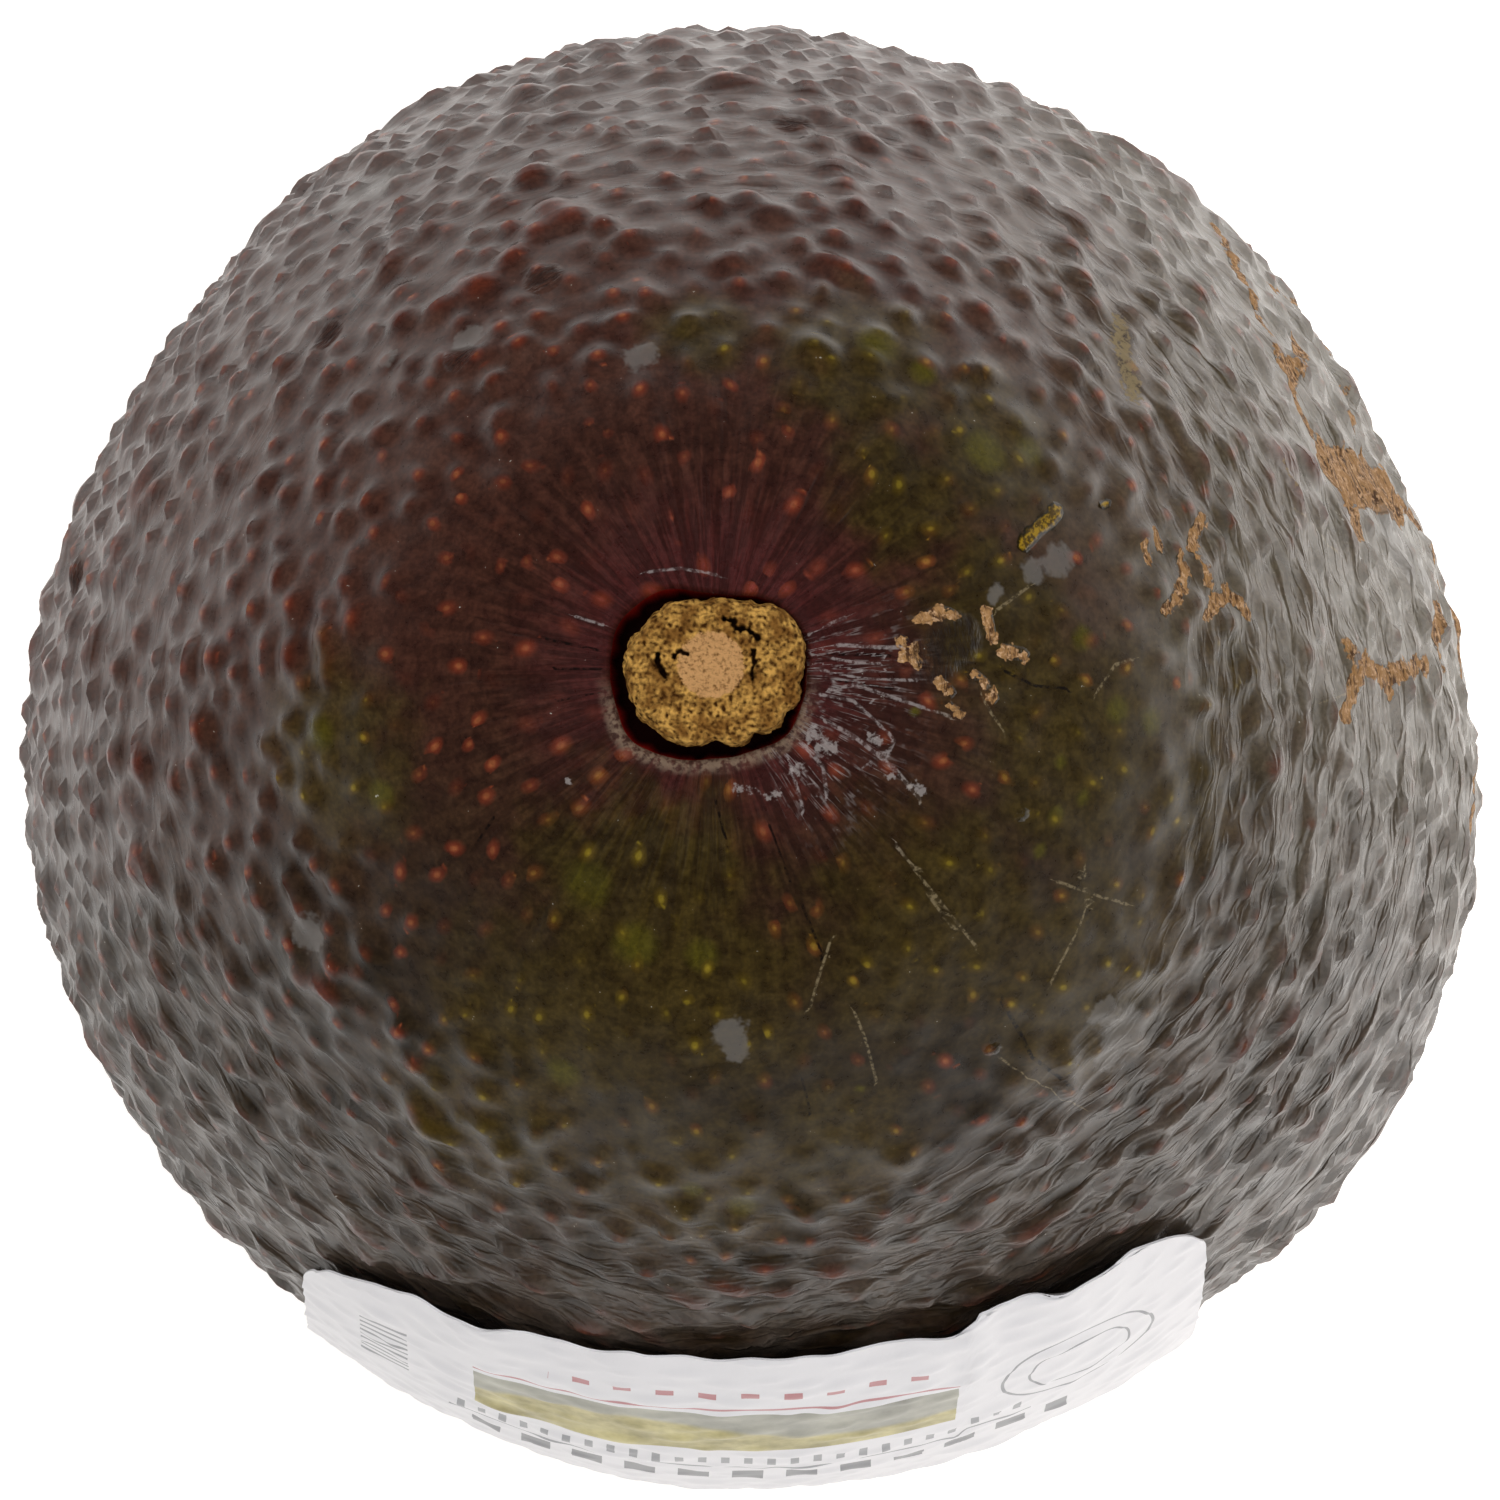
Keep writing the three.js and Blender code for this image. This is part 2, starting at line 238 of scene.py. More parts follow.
# The frame was moved so that its box is centred, and the button's own box says by how much
around_once = np.linspace(-np.pi, np.pi, 361)
button_reach = button_outline(around_once)
button_x = BUTTON_WIDTH / 2 * button_reach * np.cos(around_once)
button_y = BUTTON_DEPTH / 2 * button_reach * np.sin(around_once)
button_box = [np.array(corner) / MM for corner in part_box("stem_button")]
button_middle = (button_box[0] + button_box[1]) / 2
AXIS = np.array([
    button_middle[0] - LEAN[0] - (button_x.max() + button_x.min()) / 2,
    button_middle[1] - LEAN[1] - (button_y.max() + button_y.min()) / 2,
    0.0,
])
STEM = AXIS + np.array([*LEAN, HEIGHT - DIMPLE_DEPTH])

# Where each ring of the ball goes: the socket's floor and wall, its lip, then the skin
table_angle = np.linspace(0, np.pi, 2001)
table_points = np.stack([plain_radius(table_angle), plain_height(table_angle)], axis=1)
steps = np.linalg.norm(np.diff(table_points, axis=0), axis=1)
table_length = np.concatenate([[0], np.cumsum(steps)])
table_area = np.concatenate([[0], np.cumsum(steps * (table_points[1:, 0] + table_points[:-1, 0]))])
widest = table_angle[table_points[:, 0].argmax()]

bpy.ops.object.select_all(action="DESELECT")
bpy.ops.mesh.primitive_uv_sphere_add(segments=SEGMENTS, ring_count=RINGS, radius=1)
fruit = bpy.context.object
fruit.name = "pebbled_fruit"
count = len(fruit.data.vertices)
ball = np.empty(count * 3)
fruit.data.vertices.foreach_get("co", ball)
ball = ball.reshape(-1, 3)
ring = np.rint(np.arccos(np.clip(ball[:, 2], -1, 1)) / np.pi * RINGS).astype(int)
bearing = np.where((ring > 0) & (ring < RINGS), np.arctan2(ball[:, 1], ball[:, 0]), 0.0)

mouth_x = (BUTTON_WIDTH / 2 + SOCKET_GAP) * button_outline(bearing) * np.cos(bearing) + SOCKET_SHIFT[0]
mouth_y = (BUTTON_DEPTH / 2 + SOCKET_GAP) * button_outline(bearing) * np.sin(bearing) + SOCKET_SHIFT[1]
mouth = np.hypot(mouth_x, mouth_y)
mouth_mean = mouth.mean()

socket_rings = FLOOR_RINGS + WALL_RINGS
lip_end = socket_rings + LIP_RINGS
upper_end = lip_end + UPPER_RINGS
half = len(table_angle) // 2
length_at_lip = np.interp(mouth_mean + LIP_REACH, table_points[:half, 0], table_length[:half])
length_at_widest = np.interp(widest, table_angle, table_length)
ring_length = np.interp(
    np.arange(RINGS + 1),
    [socket_rings, lip_end, upper_end, RINGS],
    [length_at_lip - LIP_REACH, length_at_lip, length_at_widest + PAST_WIDEST, table_length[-1]],
)
plain_angle = np.interp(ring_length, table_length, table_angle)[ring]
wanted = plain_radius(plain_angle)
pull = (mouth - mouth_mean) * (1 - smooth_step(wanted, mouth_mean, mouth_mean + MOUTH_BLEND))
top_half = table_points[: table_points[:, 0].argmax(), 0]
angle = np.where(
    (plain_angle < widest) & (wanted < mouth_mean + MOUTH_BLEND + 1),
    np.interp(wanted + pull, top_half, table_angle[: len(top_half)]),
    plain_angle,
)
base = smooth_point(angle, bearing)
down, around, out = directions(angle, bearing)

# The pebbles: a sunflower spiral over the skin, each one moved a little off it
order = np.arange(PEBBLES)
golden_turn = math.pi * (3 - math.sqrt(5))
heights = 1 - (2 * order + 1) / PEBBLES
spiral = np.stack([
    np.sqrt(1 - heights**2) * np.cos(order * golden_turn),
    np.sqrt(1 - heights**2) * np.sin(order * golden_turn),
    heights,
], axis=1)
spacing = math.sqrt(4 * math.pi / PEBBLES)
spiral = unit(spiral + rng.uniform(-1, 1, (PEBBLES, 3)) * PEBBLE_JITTER * spacing)
pebble_angle = np.interp((1 - spiral[:, 2]) / 2 * table_area[-1], table_area, table_angle)
pebble_bearing = np.arctan2(spiral[:, 1], spiral[:, 0])
pebble_point = smooth_point(pebble_angle, pebble_bearing)
pebble_down, pebble_around, pebble_out = directions(pebble_angle, pebble_bearing)
pebble_from_stem = np.where(pebble_angle < widest, plain_radius(pebble_angle), 2 * RADIUS)


def roughness_zone(from_stem, bearings):
    """0 on the smooth skin round the stem, 1 on the pebbled skin."""
    swing = (SMOOTH_FAR - SMOOTH_NEAR) / 2
    start = SMOOTH_NEAR + swing - swing * np.cos(bearings - SMOOTH_SIDE)
    return smooth_step(from_stem, start, start + SMOOTH_FADE)


def crease_zone(from_stem, bearings):
    """0 where the pebbles stand singly, up to 1 where they run into creases."""
    around_share = 0.5 - 0.5 * np.cos(bearings - DOME_SIDE)
    start = CREASE_START - CREASE_SWING * np.sin(bearings)
    share = 0.12 + 0.88 * smooth_step(around_share, 0.2, 0.85)
    return share * smooth_step(from_stem, start, start + CREASE_FADE)


pebble_zone = roughness_zone(pebble_from_stem, pebble_bearing)
pebble_creased = crease_zone(pebble_from_stem, pebble_bearing)
size_chance = rng.uniform(0, 1, PEBBLES)
pebble_width = 0.43 + 0.52 * size_chance**2.0  # many small ones and a few large
pebble_height = pebble_width * rng.uniform(0.5, 1.05, PEBBLES) * (1 - 0.35 * pebble_creased)
pebble_height *= 0.14 + 0.86 * pebble_zone
runs_round = rng.uniform(0, 1, PEBBLES) < pebble_zone
stretch = np.where(runs_round, 1.0 + rng.uniform(0, 0.7, PEBBLES) + 0.7 * pebble_creased, 1.9)
stretch_turn = np.where(runs_round, np.pi / 2, 0) + rng.normal(0, 0.3, PEBBLES)
pebble_long = np.cos(stretch_turn)[:, None] * pebble_down + np.sin(stretch_turn)[:, None] * pebble_around
pebble_cross = np.cross(pebble_out, pebble_long)
pebble_chance = rng.uniform(0, 1, PEBBLES)

NEIGHBOURS = 7
tree = kdtree.KDTree(PEBBLES)
for index, point in enumerate(pebble_point):
    tree.insert(point, index)
tree.balance()


def pebble_field(points):
    """How high the pebbles raise each point, the nearest one, the way to it, and its lead on the next."""
    near = np.array([[found[1] for found in tree.find_n(point, NEIGHBOURS)] for point in points])
    offset = points[:, None, :] - pebble_point[near]
    along = np.einsum("ijk,ijk->ij", offset, pebble_long[near])
    across = np.einsum("ijk,ijk->ij", offset, pebble_cross[near])
    longer = np.sqrt(stretch[near])
    spread = (along / (pebble_width[near] * longer)) ** 2 + (across * longer / pebble_width[near]) ** 2
    raised = (pebble_height[near] * np.exp(-(spread**1.1))).sum(axis=1)
    raised = PEBBLE_LIMIT * np.tanh(raised / PEBBLE_LIMIT)
    reach = np.linalg.norm(offset, axis=2)
    return raised, near[:, 0], along[:, 0], across[:, 0], np.sqrt(spread[:, 0]), reach[:, 1] - reach[:, 0]


raised, nearest, along, across, apart, lead = pebble_field(base)
tip_closeness = np.clip(1.6 - apart, 0, 1) * smooth_step(lead, 0.35, 0.8)

# Slow unevenness of the whole skin, creases round it, and fine streaks that run out from the socket
from_stem = np.where(angle < widest, np.hypot(base[:, 0] - LEAN[0], base[:, 1] - LEAN[1]), 2 * RADIUS)
zone = roughness_zone(from_stem, bearing)
creased = crease_zone(from_stem, bearing)
run_down = np.interp(angle, table_angle, table_length)
wrap = np.stack([base[:, 0] / CREASE_STRETCH, base[:, 1] / CREASE_STRETCH, run_down], axis=1)
bend = np.array([noise.noise(Vector(p) / 3.5 + Vector((7, 0, 0))) for p in wrap])[:, None]
wrap = wrap + bend * np.array([0.0, 0.0, 1.3])
uneven = np.array([noise.noise(Vector(p) / UNEVEN_SIZE) for p in base]) * UNEVEN_HEIGHT + UNEVEN_SHIFT
fine = np.array([noise.noise(Vector(p) / GRAIN_SPAN + Vector((40, 0, 0))) for p in base]) * GRAIN_RISE
wide_crease = np.array([noise.noise(Vector(p) / 2.2) for p in wrap])
crease = np.clip(1 - np.abs(wide_crease) * 4.5, 0, 1) ** 1.4
ray = np.stack([
    np.cos(bearing) * STREAKS_ROUND,
    np.sin(bearing) * STREAKS_ROUND,
    from_stem * STREAK_RUN,
], axis=1)
streak = np.array([noise.noise(Vector(p)) for p in ray])
streak_share = smooth_step(from_stem, mouth_mean, mouth_mean + 3) * (1 - smooth_step(from_stem, 12, 21))
relief = raised + (uneven + fine * zone) * smooth_step(from_stem, 4, 12)
relief = relief + STREAK_HEIGHT * streak * streak_share + CREASE_HEIGHT * crease * creased

# The lip of the socket is a low uneven roll, and its wall drops to a floor under the button
beyond = from_stem - mouth
roll = LIP_HEIGHT * np.exp(-(((beyond - 0.55) / LIP_WIDTH) ** 2)) * (1 + 0.7 * np.sin(3 * bearing + 1))
shoulder = LIP_ROUNDING * np.exp(-np.clip(beyond, 0, None) / 0.16)
skin = base + out * (relief + np.where(angle < widest, roll - shoulder, 0))[:, None]

wall_share = np.clip((socket_rings - ring) / WALL_RINGS, 0, 1)
floor_share = np.clip(ring / FLOOR_RINGS, 0, 1)
edge_height = (base[:, 2] - LIP_ROUNDING)[ring == socket_rings].mean()
mouth_edge = np.stack([np.cos(bearing), np.sin(bearing)], axis=1) * mouth[:, None]
inside = ring < socket_rings
wall_ripple = 0.05 * np.sin(17 * bearing) + 0.04 * np.sin(29 * bearing + 2)
narrowing = (1 - 0.10 * wall_share**2) * floor_share
socket = np.stack([
    LEAN[0] + mouth_edge[:, 0] * narrowing * (1 + wall_ripple * wall_share * 0.4),
    LEAN[1] + mouth_edge[:, 1] * narrowing * (1 + wall_ripple * wall_share * 0.4),
    edge_height - (SOCKET_DEPTH - 0.5) * wall_share**0.8,
], axis=1)
skin = np.where(inside[:, None], socket, skin)
skin[:, 2] = np.maximum(skin[:, 2], 0.0)  # the flat spot it stands on
skin += AXIS
fruit.data.vertices.foreach_set("co", (skin * MM).ravel())
fruit.data.update()


def keep_values(piece, name, *columns):
    """Keeps up to three values for each vertex, for the material to read."""
    values = np.zeros((len(piece.data.vertices), 3), np.float32)
    for index, column in enumerate(columns):
        values[:, index] = column
    kept = piece.data.attributes.new(name, "FLOAT_VECTOR", "POINT")
    kept.data.foreach_set("vector", values.ravel())


# Where a pixel of the photo's 1500 x 1500 frame falls on the skin, in mm
PHOTO = 1500
focal = CAMERA_DISTANCE / FRAME_WIDTH * PHOTO
camera_right = Vector((1, 0, 0))
camera_up = camera_away.cross(camera_right)
camera_at = np.array(camera.location) / MM
from_camera = skin - camera_at
depth = -from_camera @ np.array(camera_away)
seen_x = PHOTO / 2 + focal * (from_camera @ np.array(camera_right)) / depth
seen_y = PHOTO / 2 - focal * (from_camera @ np.array(camera_up)) / depth
facing = (out @ np.array(camera_away) > 0.02) & ~inside


def on_skin(pixels):
    points = []
    for x, y in pixels:
        apart_px = np.where(facing, np.hypot(seen_x - x, seen_y - y), 1e9)
        points.append(skin[apart_px.argmin()])
    return np.array(points)


def near_spots(spots):
    """1 in the middle of each spot (x, y, radius in mm), 0.5 at its radius and 0 outside it."""
    share = np.zeros(count)
    for point, (_, _, radius) in zip(on_skin([spot[:2] for spot in spots]), spots):
        apart_mm = np.linalg.norm(skin - point, axis=1)
        share = np.maximum(share, 1 - smooth_step(apart_mm, 0, 2 * radius))
    return share


LINE_FADE = 1.3  # mm from where a line's value is 1 to where it is 0


def near_lines(lines):
    """0.5 at the half width in mm of each line through pixels of the photo, and more inside it."""
    share = np.zeros(count)
    for half_width, *pixels in lines:
        points = on_skin(pixels)
        for start, end in zip(points[:-1], points[1:]):
            line = end - start
            part = np.clip((skin - start) @ line / max(line @ line, 1e-6), 0, 1)
            apart_mm = np.linalg.norm(skin - start - part[:, None] * line, axis=1)
            share = np.maximum(share, np.clip(0.5 + (half_width - apart_mm) / LINE_FADE, 0, 1))
    return share


def nearest_line(lines):
    """Distance in mm to the nearest line, with its side as the sign and without it, and its half width."""
    closest = np.full(count, 2.0)
    sided = np.full(count, 2.0)
    widths = np.zeros(count)
    for half_width, *pixels in lines:
        points = on_skin(pixels)
        for start, end in zip(points[:-1], points[1:]):
            line = end - start
            part = np.clip((skin - start) @ line / max(line @ line, 1e-6), 0, 1)
            offset = skin - start - part[:, None] * line
            apart_mm = np.linalg.norm(offset, axis=1)
            side = np.where(np.einsum("ij,ij->i", np.cross(line, offset), out) < 0, -1.0, 1.0)
            closer = apart_mm < closest
            closest = np.where(closer, apart_mm, closest)
            sided = np.where(closer, apart_mm * side, sided)
            widths = np.where(closer, half_width, widths)
    return sided, closest, widths


# Ripening: wide patches are still olive, and small fresh spots in them are yellow-green
OLIVE_SPOTS = [
    (640, 900, 5.5), (560, 1030, 6.0), (700, 1000, 5.5), (700, 1180, 5.5), (1080, 760, 5.5), (1090, 980, 6.0),
    (870, 360, 4.5), (990, 440, 4.5), (940, 930, 6.0), (330, 760, 4.5), (480, 1130, 5.0), (900, 490, 3.5),
    (1000, 620, 4.0), (820, 1150, 5.0), (700, 330, 2.5), (1190, 800, 3.5), (1230, 690, 3.0),
]
FRESH_SPOTS = [
    (1085, 640, 0.7), (1118, 710, 0.75), (1148, 722, 0.7), (1057, 762, 0.45), (1058, 815, 0.5),
    (1043, 853, 0.5), (1082, 798, 0.5), (918, 714, 0.25), (860, 1093, 0.3), (590, 880, 1.3),
    (635, 945, 1.1), (700, 960, 0.9),
    (880, 345, 1.1), (925, 365, 0.8), (985, 452, 1.2), (1030, 448, 0.8), (320, 735, 1.0), (380, 795, 0.8),
    (745, 1205, 0.8), (690, 1190, 0.6), (560, 1075, 0.9),
]
# Grey spots of dull wax, partly a painted reflection of the lit table
DULL_WAX_AND_SHEEN_SPOTS = [
    (1128, 1035, 1.5), (1105, 1015, 0.9), (380, 185, 2.0), (350, 200, 1.2), (305, 930, 1.1), (730, 1035, 0.9),
    (735, 1055, 0.7), (640, 355, 0.9), (1060, 560, 0.9), (1035, 570, 0.7), (1000, 590, 0.4), (990, 602, 0.35),
    (1395, 545, 2.2), (1430, 580, 1.6), (1110, 1055, 0.9), (470, 340, 0.9), (385, 355, 0.6),
]
DARK_SPOTS = [
    (545, 275, 0.9), (795, 125, 0.9), (75, 575, 1.0), (460, 355, 0.8), (330, 335, 0.8), (1020, 815, 0.3),
    (940, 652, 1.2), (955, 640, 1.1), (995, 1050, 0.35), (930, 660, 1.0),
]
CHALK_SPOTS = [
    (912, 787, 0.45), (925, 795, 0.4), (895, 778, 0.35), (800, 775, 0.6), (822, 745, 0.7), (835, 750, 0.5),
    (775, 790, 0.5), (770, 800, 0.4), (738, 786, 0.4), (750, 790, 0.35), (880, 742, 0.35), (868, 735, 0.35),
    (812, 735, 0.7), (570, 780, 0.35),
]
olive = near_spots(OLIVE_SPOTS)
fresh = near_spots(FRESH_SPOTS)
grey = near_spots(DULL_WAX_AND_SHEEN_SPOTS)
dark = near_spots(DARK_SPOTS)
chalk = near_spots(CHALK_SPOTS)

# Half width in mm of each mark, then the way it runs. First the places that were rubbed and healed in cork
SCARS = [
    (0.28, (1155, 532), (1163, 548)),
    (0.28, (1200, 520), (1192, 545)),
    (0.22, (1198, 556), (1208, 578), (1219, 600), (1205, 612)),
    (0.24, (1182, 558), (1187, 578), (1180, 598), (1165, 612)),
    (0.30, (1230, 590), (1248, 609)),
    (0.14, (1145, 540), (1152, 562)),
    (0.2, (922, 618), (938, 610), (950, 616)),
    (0.24, (998, 652), (1024, 656)),
    (0.16, (903, 640), (912, 650), (906, 660), (922, 664)),
    (0.16, (935, 682), (952, 692)),
    (0.22, (985, 612), (988, 636)),
    (0.16, (975, 672), (984, 682), (990, 700)),
    (0.12, (950, 705), (962, 714)),
    (0.30, (1216, 230), (1236, 265), (1252, 300)),
    (0.14, (1252, 300), (1264, 330), (1280, 362)),
    (0.34, (1292, 335), (1296, 360), (1290, 384)),
    (0.26, (1282, 368), (1302, 350)),
    (0.26, (1272, 288), (1300, 325), (1335, 372), (1350, 418)),
    (0.20, (1350, 418), (1362, 450)),
    (0.26, (1297, 402), (1310, 430), (1325, 452)),
    (1.5, (1335, 470), (1362, 484), (1388, 500)),
    (0.9, (1345, 505), (1355, 528)),
    (0.45, (1390, 500), (1422, 520)),
    (0.30, (1422, 520), (1442, 560), (1453, 600)),
    (0.60, (1440, 612), (1434, 640), (1438, 662)),
    (0.36, (1453, 600), (1461, 650), (1468, 700), (1473, 790), (1470, 870)),
    (0.42, (1432, 662), (1408, 670), (1385, 674), (1366, 664), (1350, 690), (1344, 712)),
    (0.34, (1352, 648), (1358, 680)),
    (0.34, (1380, 678), (1388, 696)),
]
CREAM_PATCHES = [
    (0.26, (862, 893), (855, 912), (838, 930), (830, 948), (828, 972)),
    (0.95, (1116, 318), (1120, 345), (1128, 375), (1135, 400)),
    (0.35, (1148, 290), (1138, 318)),
    (0.55, (1285, 462), (1300, 482)),
    (0.30, (1088, 895), (1086, 905)),
    (0.22, (905, 868), (925, 885)),
]
# Thin pale lines, partly painted sheen along the creases
THREADS = [  # thin pale lines
    (0.03, (830, 948), (818, 985), (812, 1010)),
    (0.04, (900, 850), (935, 898), (978, 945)),
    (0.03, (925, 872), (930, 898), (950, 925)),
    (0.04, (1088, 875), (1086, 905), (1070, 945), (1052, 985)),
    (0.04, (1060, 880), (1128, 903)),
    (0.03, (980, 700), (998, 730)),
    (0.03, (855, 1010), (862, 1035), (878, 1080)),
    (0.03, (1300, 515), (1335, 555)),
    (0.03, (1325, 700), (1358, 690)),
    (0.05, (807, 650), (840, 645), (880, 647), (900, 649)),
    (0.04, (820, 670), (870, 680), (915, 680)),
    (0.04, (807, 635), (840, 620), (850, 615)),
    (0.03, (812, 655), (850, 662), (880, 664)),
    (0.04, (820, 695), (850, 700), (880, 720), (895, 740), (885, 755), (868, 762)),
    (0.06, (825, 720), (860, 740), (895, 770), (925, 800)),
    (0.05, (830, 690), (860, 685), (900, 700), (950, 715)),
    (0.05, (805, 745), (822, 765), (830, 800)),
    (0.04, (790, 765), (800, 790), (806, 815)),
    (0.03, (575, 615), (605, 625)),
    (0.04, (647, 571), (680, 568), (717, 573)),
    (0.04, (1100, 690), (1112, 665), (1132, 660)),
    (0.04, (998, 612), (1025, 590)),
    (0.03, (1000, 1055), (1080, 1110)),
]
# Cracks and creases, painted near black as their shade, since the mesh gives them no depth
CRACKS = [
    (0.07, (1000, 1000), (1018, 1035), (1032, 1060), (1075, 1092)),
    (0.04, (800, 900), (822, 955)),
    (0.03, (804, 1075), (812, 1110)),
    (0.04, (475, 845), (495, 815)),
    (0.05, (808, 654), (850, 656), (893, 655)),
    (0.05, (808, 676), (850, 682), (895, 688)),
    (0.04, (1000, 672), (1040, 686), (1070, 690)),
    (0.04, (560, 670), (600, 668)),
    (0.04, (545, 640), (600, 650)),
    (0.03, (560, 700), (606, 690)),
    (0.04, (350, 290), (365, 305), (330, 318)),
    (0.03, (310, 215), (345, 222), (360, 240)),
    (0.04, (715, 800), (728, 850)),
    (0.03, (770, 830), (790, 880)),
]
YELLOW_SCARS = [
    (0.46, (1025, 543), (1040, 525), (1050, 516), (1060, 508)),
    (0.24, (1102, 505), (1112, 503)),
]
scar = near_lines(SCARS)
cream = near_lines(CREAM_PATCHES)
yellow = near_lines(YELLOW_SCARS)

keep_values(fruit, "pore", along, across, pebble_chance[nearest])
keep_values(fruit, "relief", np.clip(relief / 0.6, -1, 2), tip_closeness, np.where(inside, 0, zone))
keep_values(fruit, "ripeness", olive, fresh, np.where(inside, -1, from_stem))
keep_values(fruit, "healed", scar, cream, yellow)
keep_values(fruit, "marks", chalk, dark)
keep_values(fruit, "cracks", *nearest_line(CRACKS))
keep_values(fruit, "threads", *nearest_line(THREADS))
keep_values(fruit, "creases", np.where(inside, 0, creased), crease, grey)
keep_values(fruit, "wrap", *wrap.T)
keep_values(fruit, "socket", inside * 1.0, np.clip(beyond, -1, 40), np.where(inside, wall_share, 0))

bpy.ops.object.shade_smooth()

# Avocado skin: a thin waxy rind. It is dark purple-brown where ripe and olive where not, redder on the tips
# of the pebbles, and satin with a thin grey bloom, so it turns pale where it mirrors the lit table.
rind = bpy.data.materials.new("ripe_avocado_rind")
rind.use_nodes = True
nt = rind.node_tree
shader = nt.nodes["Principled BSDF"]

place = node(nt, "TexCoord", out=3)
kept = {}
for name in ("pore", "relief", "ripeness", "healed", "marks", "cracks", "threads", "creases", "wrap",
             "socket"):
    kept[name] = node(nt, "Attribute", attribute_name=name, out=1)
pore_along, pore_across, chance = node(nt, "SeparateXYZ", [kept["pore"]]).node.outputs
height, closeness, rough_zone = node(nt, "SeparateXYZ", [kept["relief"]]).node.outputs
olive_zone, fresh_zone, stem_distance = node(nt, "SeparateXYZ", [kept["ripeness"]]).node.outputs
scar_zone, cream_zone, yellow_zone = node(nt, "SeparateXYZ", [kept["healed"]]).node.outputs
chalk_zone, dark_zone, _ = node(nt, "SeparateXYZ", [kept["marks"]]).node.outputs
crease_share, crease_crest, dull_wax_and_sheen_zone = node(nt, "SeparateXYZ", [kept["creases"]]).node.outputs
in_socket, beyond_mouth, wall_down = node(nt, "SeparateXYZ", [kept["socket"]]).node.outputs
bearing_x, bearing_y, _ = node(nt, "SeparateXYZ", [place]).node.outputs

SOFT = {"interpolation_type": "SMOOTHSTEP"}
CLOUD, PATCH = 7.0, 2.4  # mm across: how it ripens, in wide clouds and in patches
SPECKLE, TOOTH = 0.8, 0.25  # mm across: mottling, and the grain of wax and cork
CREASE_SPAN, FINE_CREASE_SPAN = 2.6, 1.0  # mm apart
FIBRE, CORK_EDGE = 0.3, 0.7  # mm across: the fibres of healed cork, and the steps of its edge
cloud = node(nt, "TexNoise", {"Vector": place, "Scale": 1 / (CLOUD * MM), "Detail": 1.0})
patch = node(nt, "TexNoise", {
    "Vector": place, "Scale": 1 / (PATCH * MM), "Detail": 2.0, "Roughness": 0.55,
})
speckle = node(nt, "TexNoise", {
    "Vector": place, "Scale": 1 / (SPECKLE * MM), "Detail": 2.0, "Roughness": 0.6,
})
tooth = node(nt, "TexNoise", {"Vector": place, "Scale": 1 / (TOOTH * MM), "Detail": 2.0, "Roughness": 0.6})

# Fine creases, where a noise drawn out round the fruit crosses its middle value
fine_crease = node(nt, "TexNoise", {
    "Vector": kept["wrap"], "Scale": 1 / CREASE_SPAN, "Detail": 1.5, "Roughness": 0.45,
})
fine_crease = node(nt, "Math", [fine_crease, -0.5], operation="ADD")
fine_crease = node(nt, "Math", [fine_crease], operation="ABSOLUTE")
fine_crease = node(nt, "MapRange", [fine_crease, 0.12, 0.0], **SOFT)
finest_crease = node(nt, "TexNoise", {
    "Vector": kept["wrap"], "Scale": 1 / FINE_CREASE_SPAN, "Detail": 2.0,
})
finest_crease = node(nt, "Math", [finest_crease, -0.5], operation="ADD")
finest_crease = node(nt, "Math", [finest_crease], operation="ABSOLUTE")
finest_crease = node(nt, "MapRange", [finest_crease, 0.09, 0.0], **SOFT)
fine_crease = node(nt, "Math", [finest_crease, 0.3, fine_crease], operation="MULTIPLY_ADD")
fine_crease = node(nt, "Math", [fine_crease, crease_share], operation="MULTIPLY")

# Streaks that run out from the socket
from_stem_way = node(nt, "VectorMath", [place, tuple(-STEM * MM)], operation="ADD")
level_way = node(nt, "VectorMath", [from_stem_way, (1, 1, 0)], operation="MULTIPLY")
ray_way = node(nt, "VectorMath", [level_way], operation="NORMALIZE")
ray_out = node(nt, "VectorMath", {0: ray_way, "Scale": 20.0}, operation="SCALE")
ray_step = node(nt, "CombineXYZ", {"Z": node(nt, "Math", [stem_distance, 0.3], operation="MULTIPLY")})
ray_place = node(nt, "VectorMath", [ray_out, ray_step], operation="ADD")
ray_noise = node(nt, "TexNoise", {"Vector": ray_place, "Scale": 1.0, "Detail": 2.0, "Roughness": 0.6})
streaked = node(nt, "MapRange", [stem_distance, 19.0, 8.0], **SOFT)

# Ripe purple-brown, maroon near the stem, browner towards the label, and olive in patches
mottle = node(nt, "MapRange", [speckle, 0.3, 0.7], **SOFT)
outward = node(nt, "MapRange", [stem_distance, 8.0, 20.0], **SOFT)
body = node(nt, "MixRGB", [mottle, linear("#351d17"), linear("#47291f")])
far_body = node(nt, "MixRGB", [mottle, linear("#361f19"), linear("#472a21")])
body = node(nt, "MixRGB", [outward, body, far_body])
right_body = node(nt, "MixRGB", [mottle, linear("#3f3425"), linear("#4e432f")])
right_place = node(nt, "Math", [cloud, 0.012, bearing_x], operation="MULTIPLY_ADD")
right_side = node(nt, "MapRange", [right_place, 0.012, 0.028], **SOFT)
body = node(nt, "MixRGB", [right_side, body, right_body])
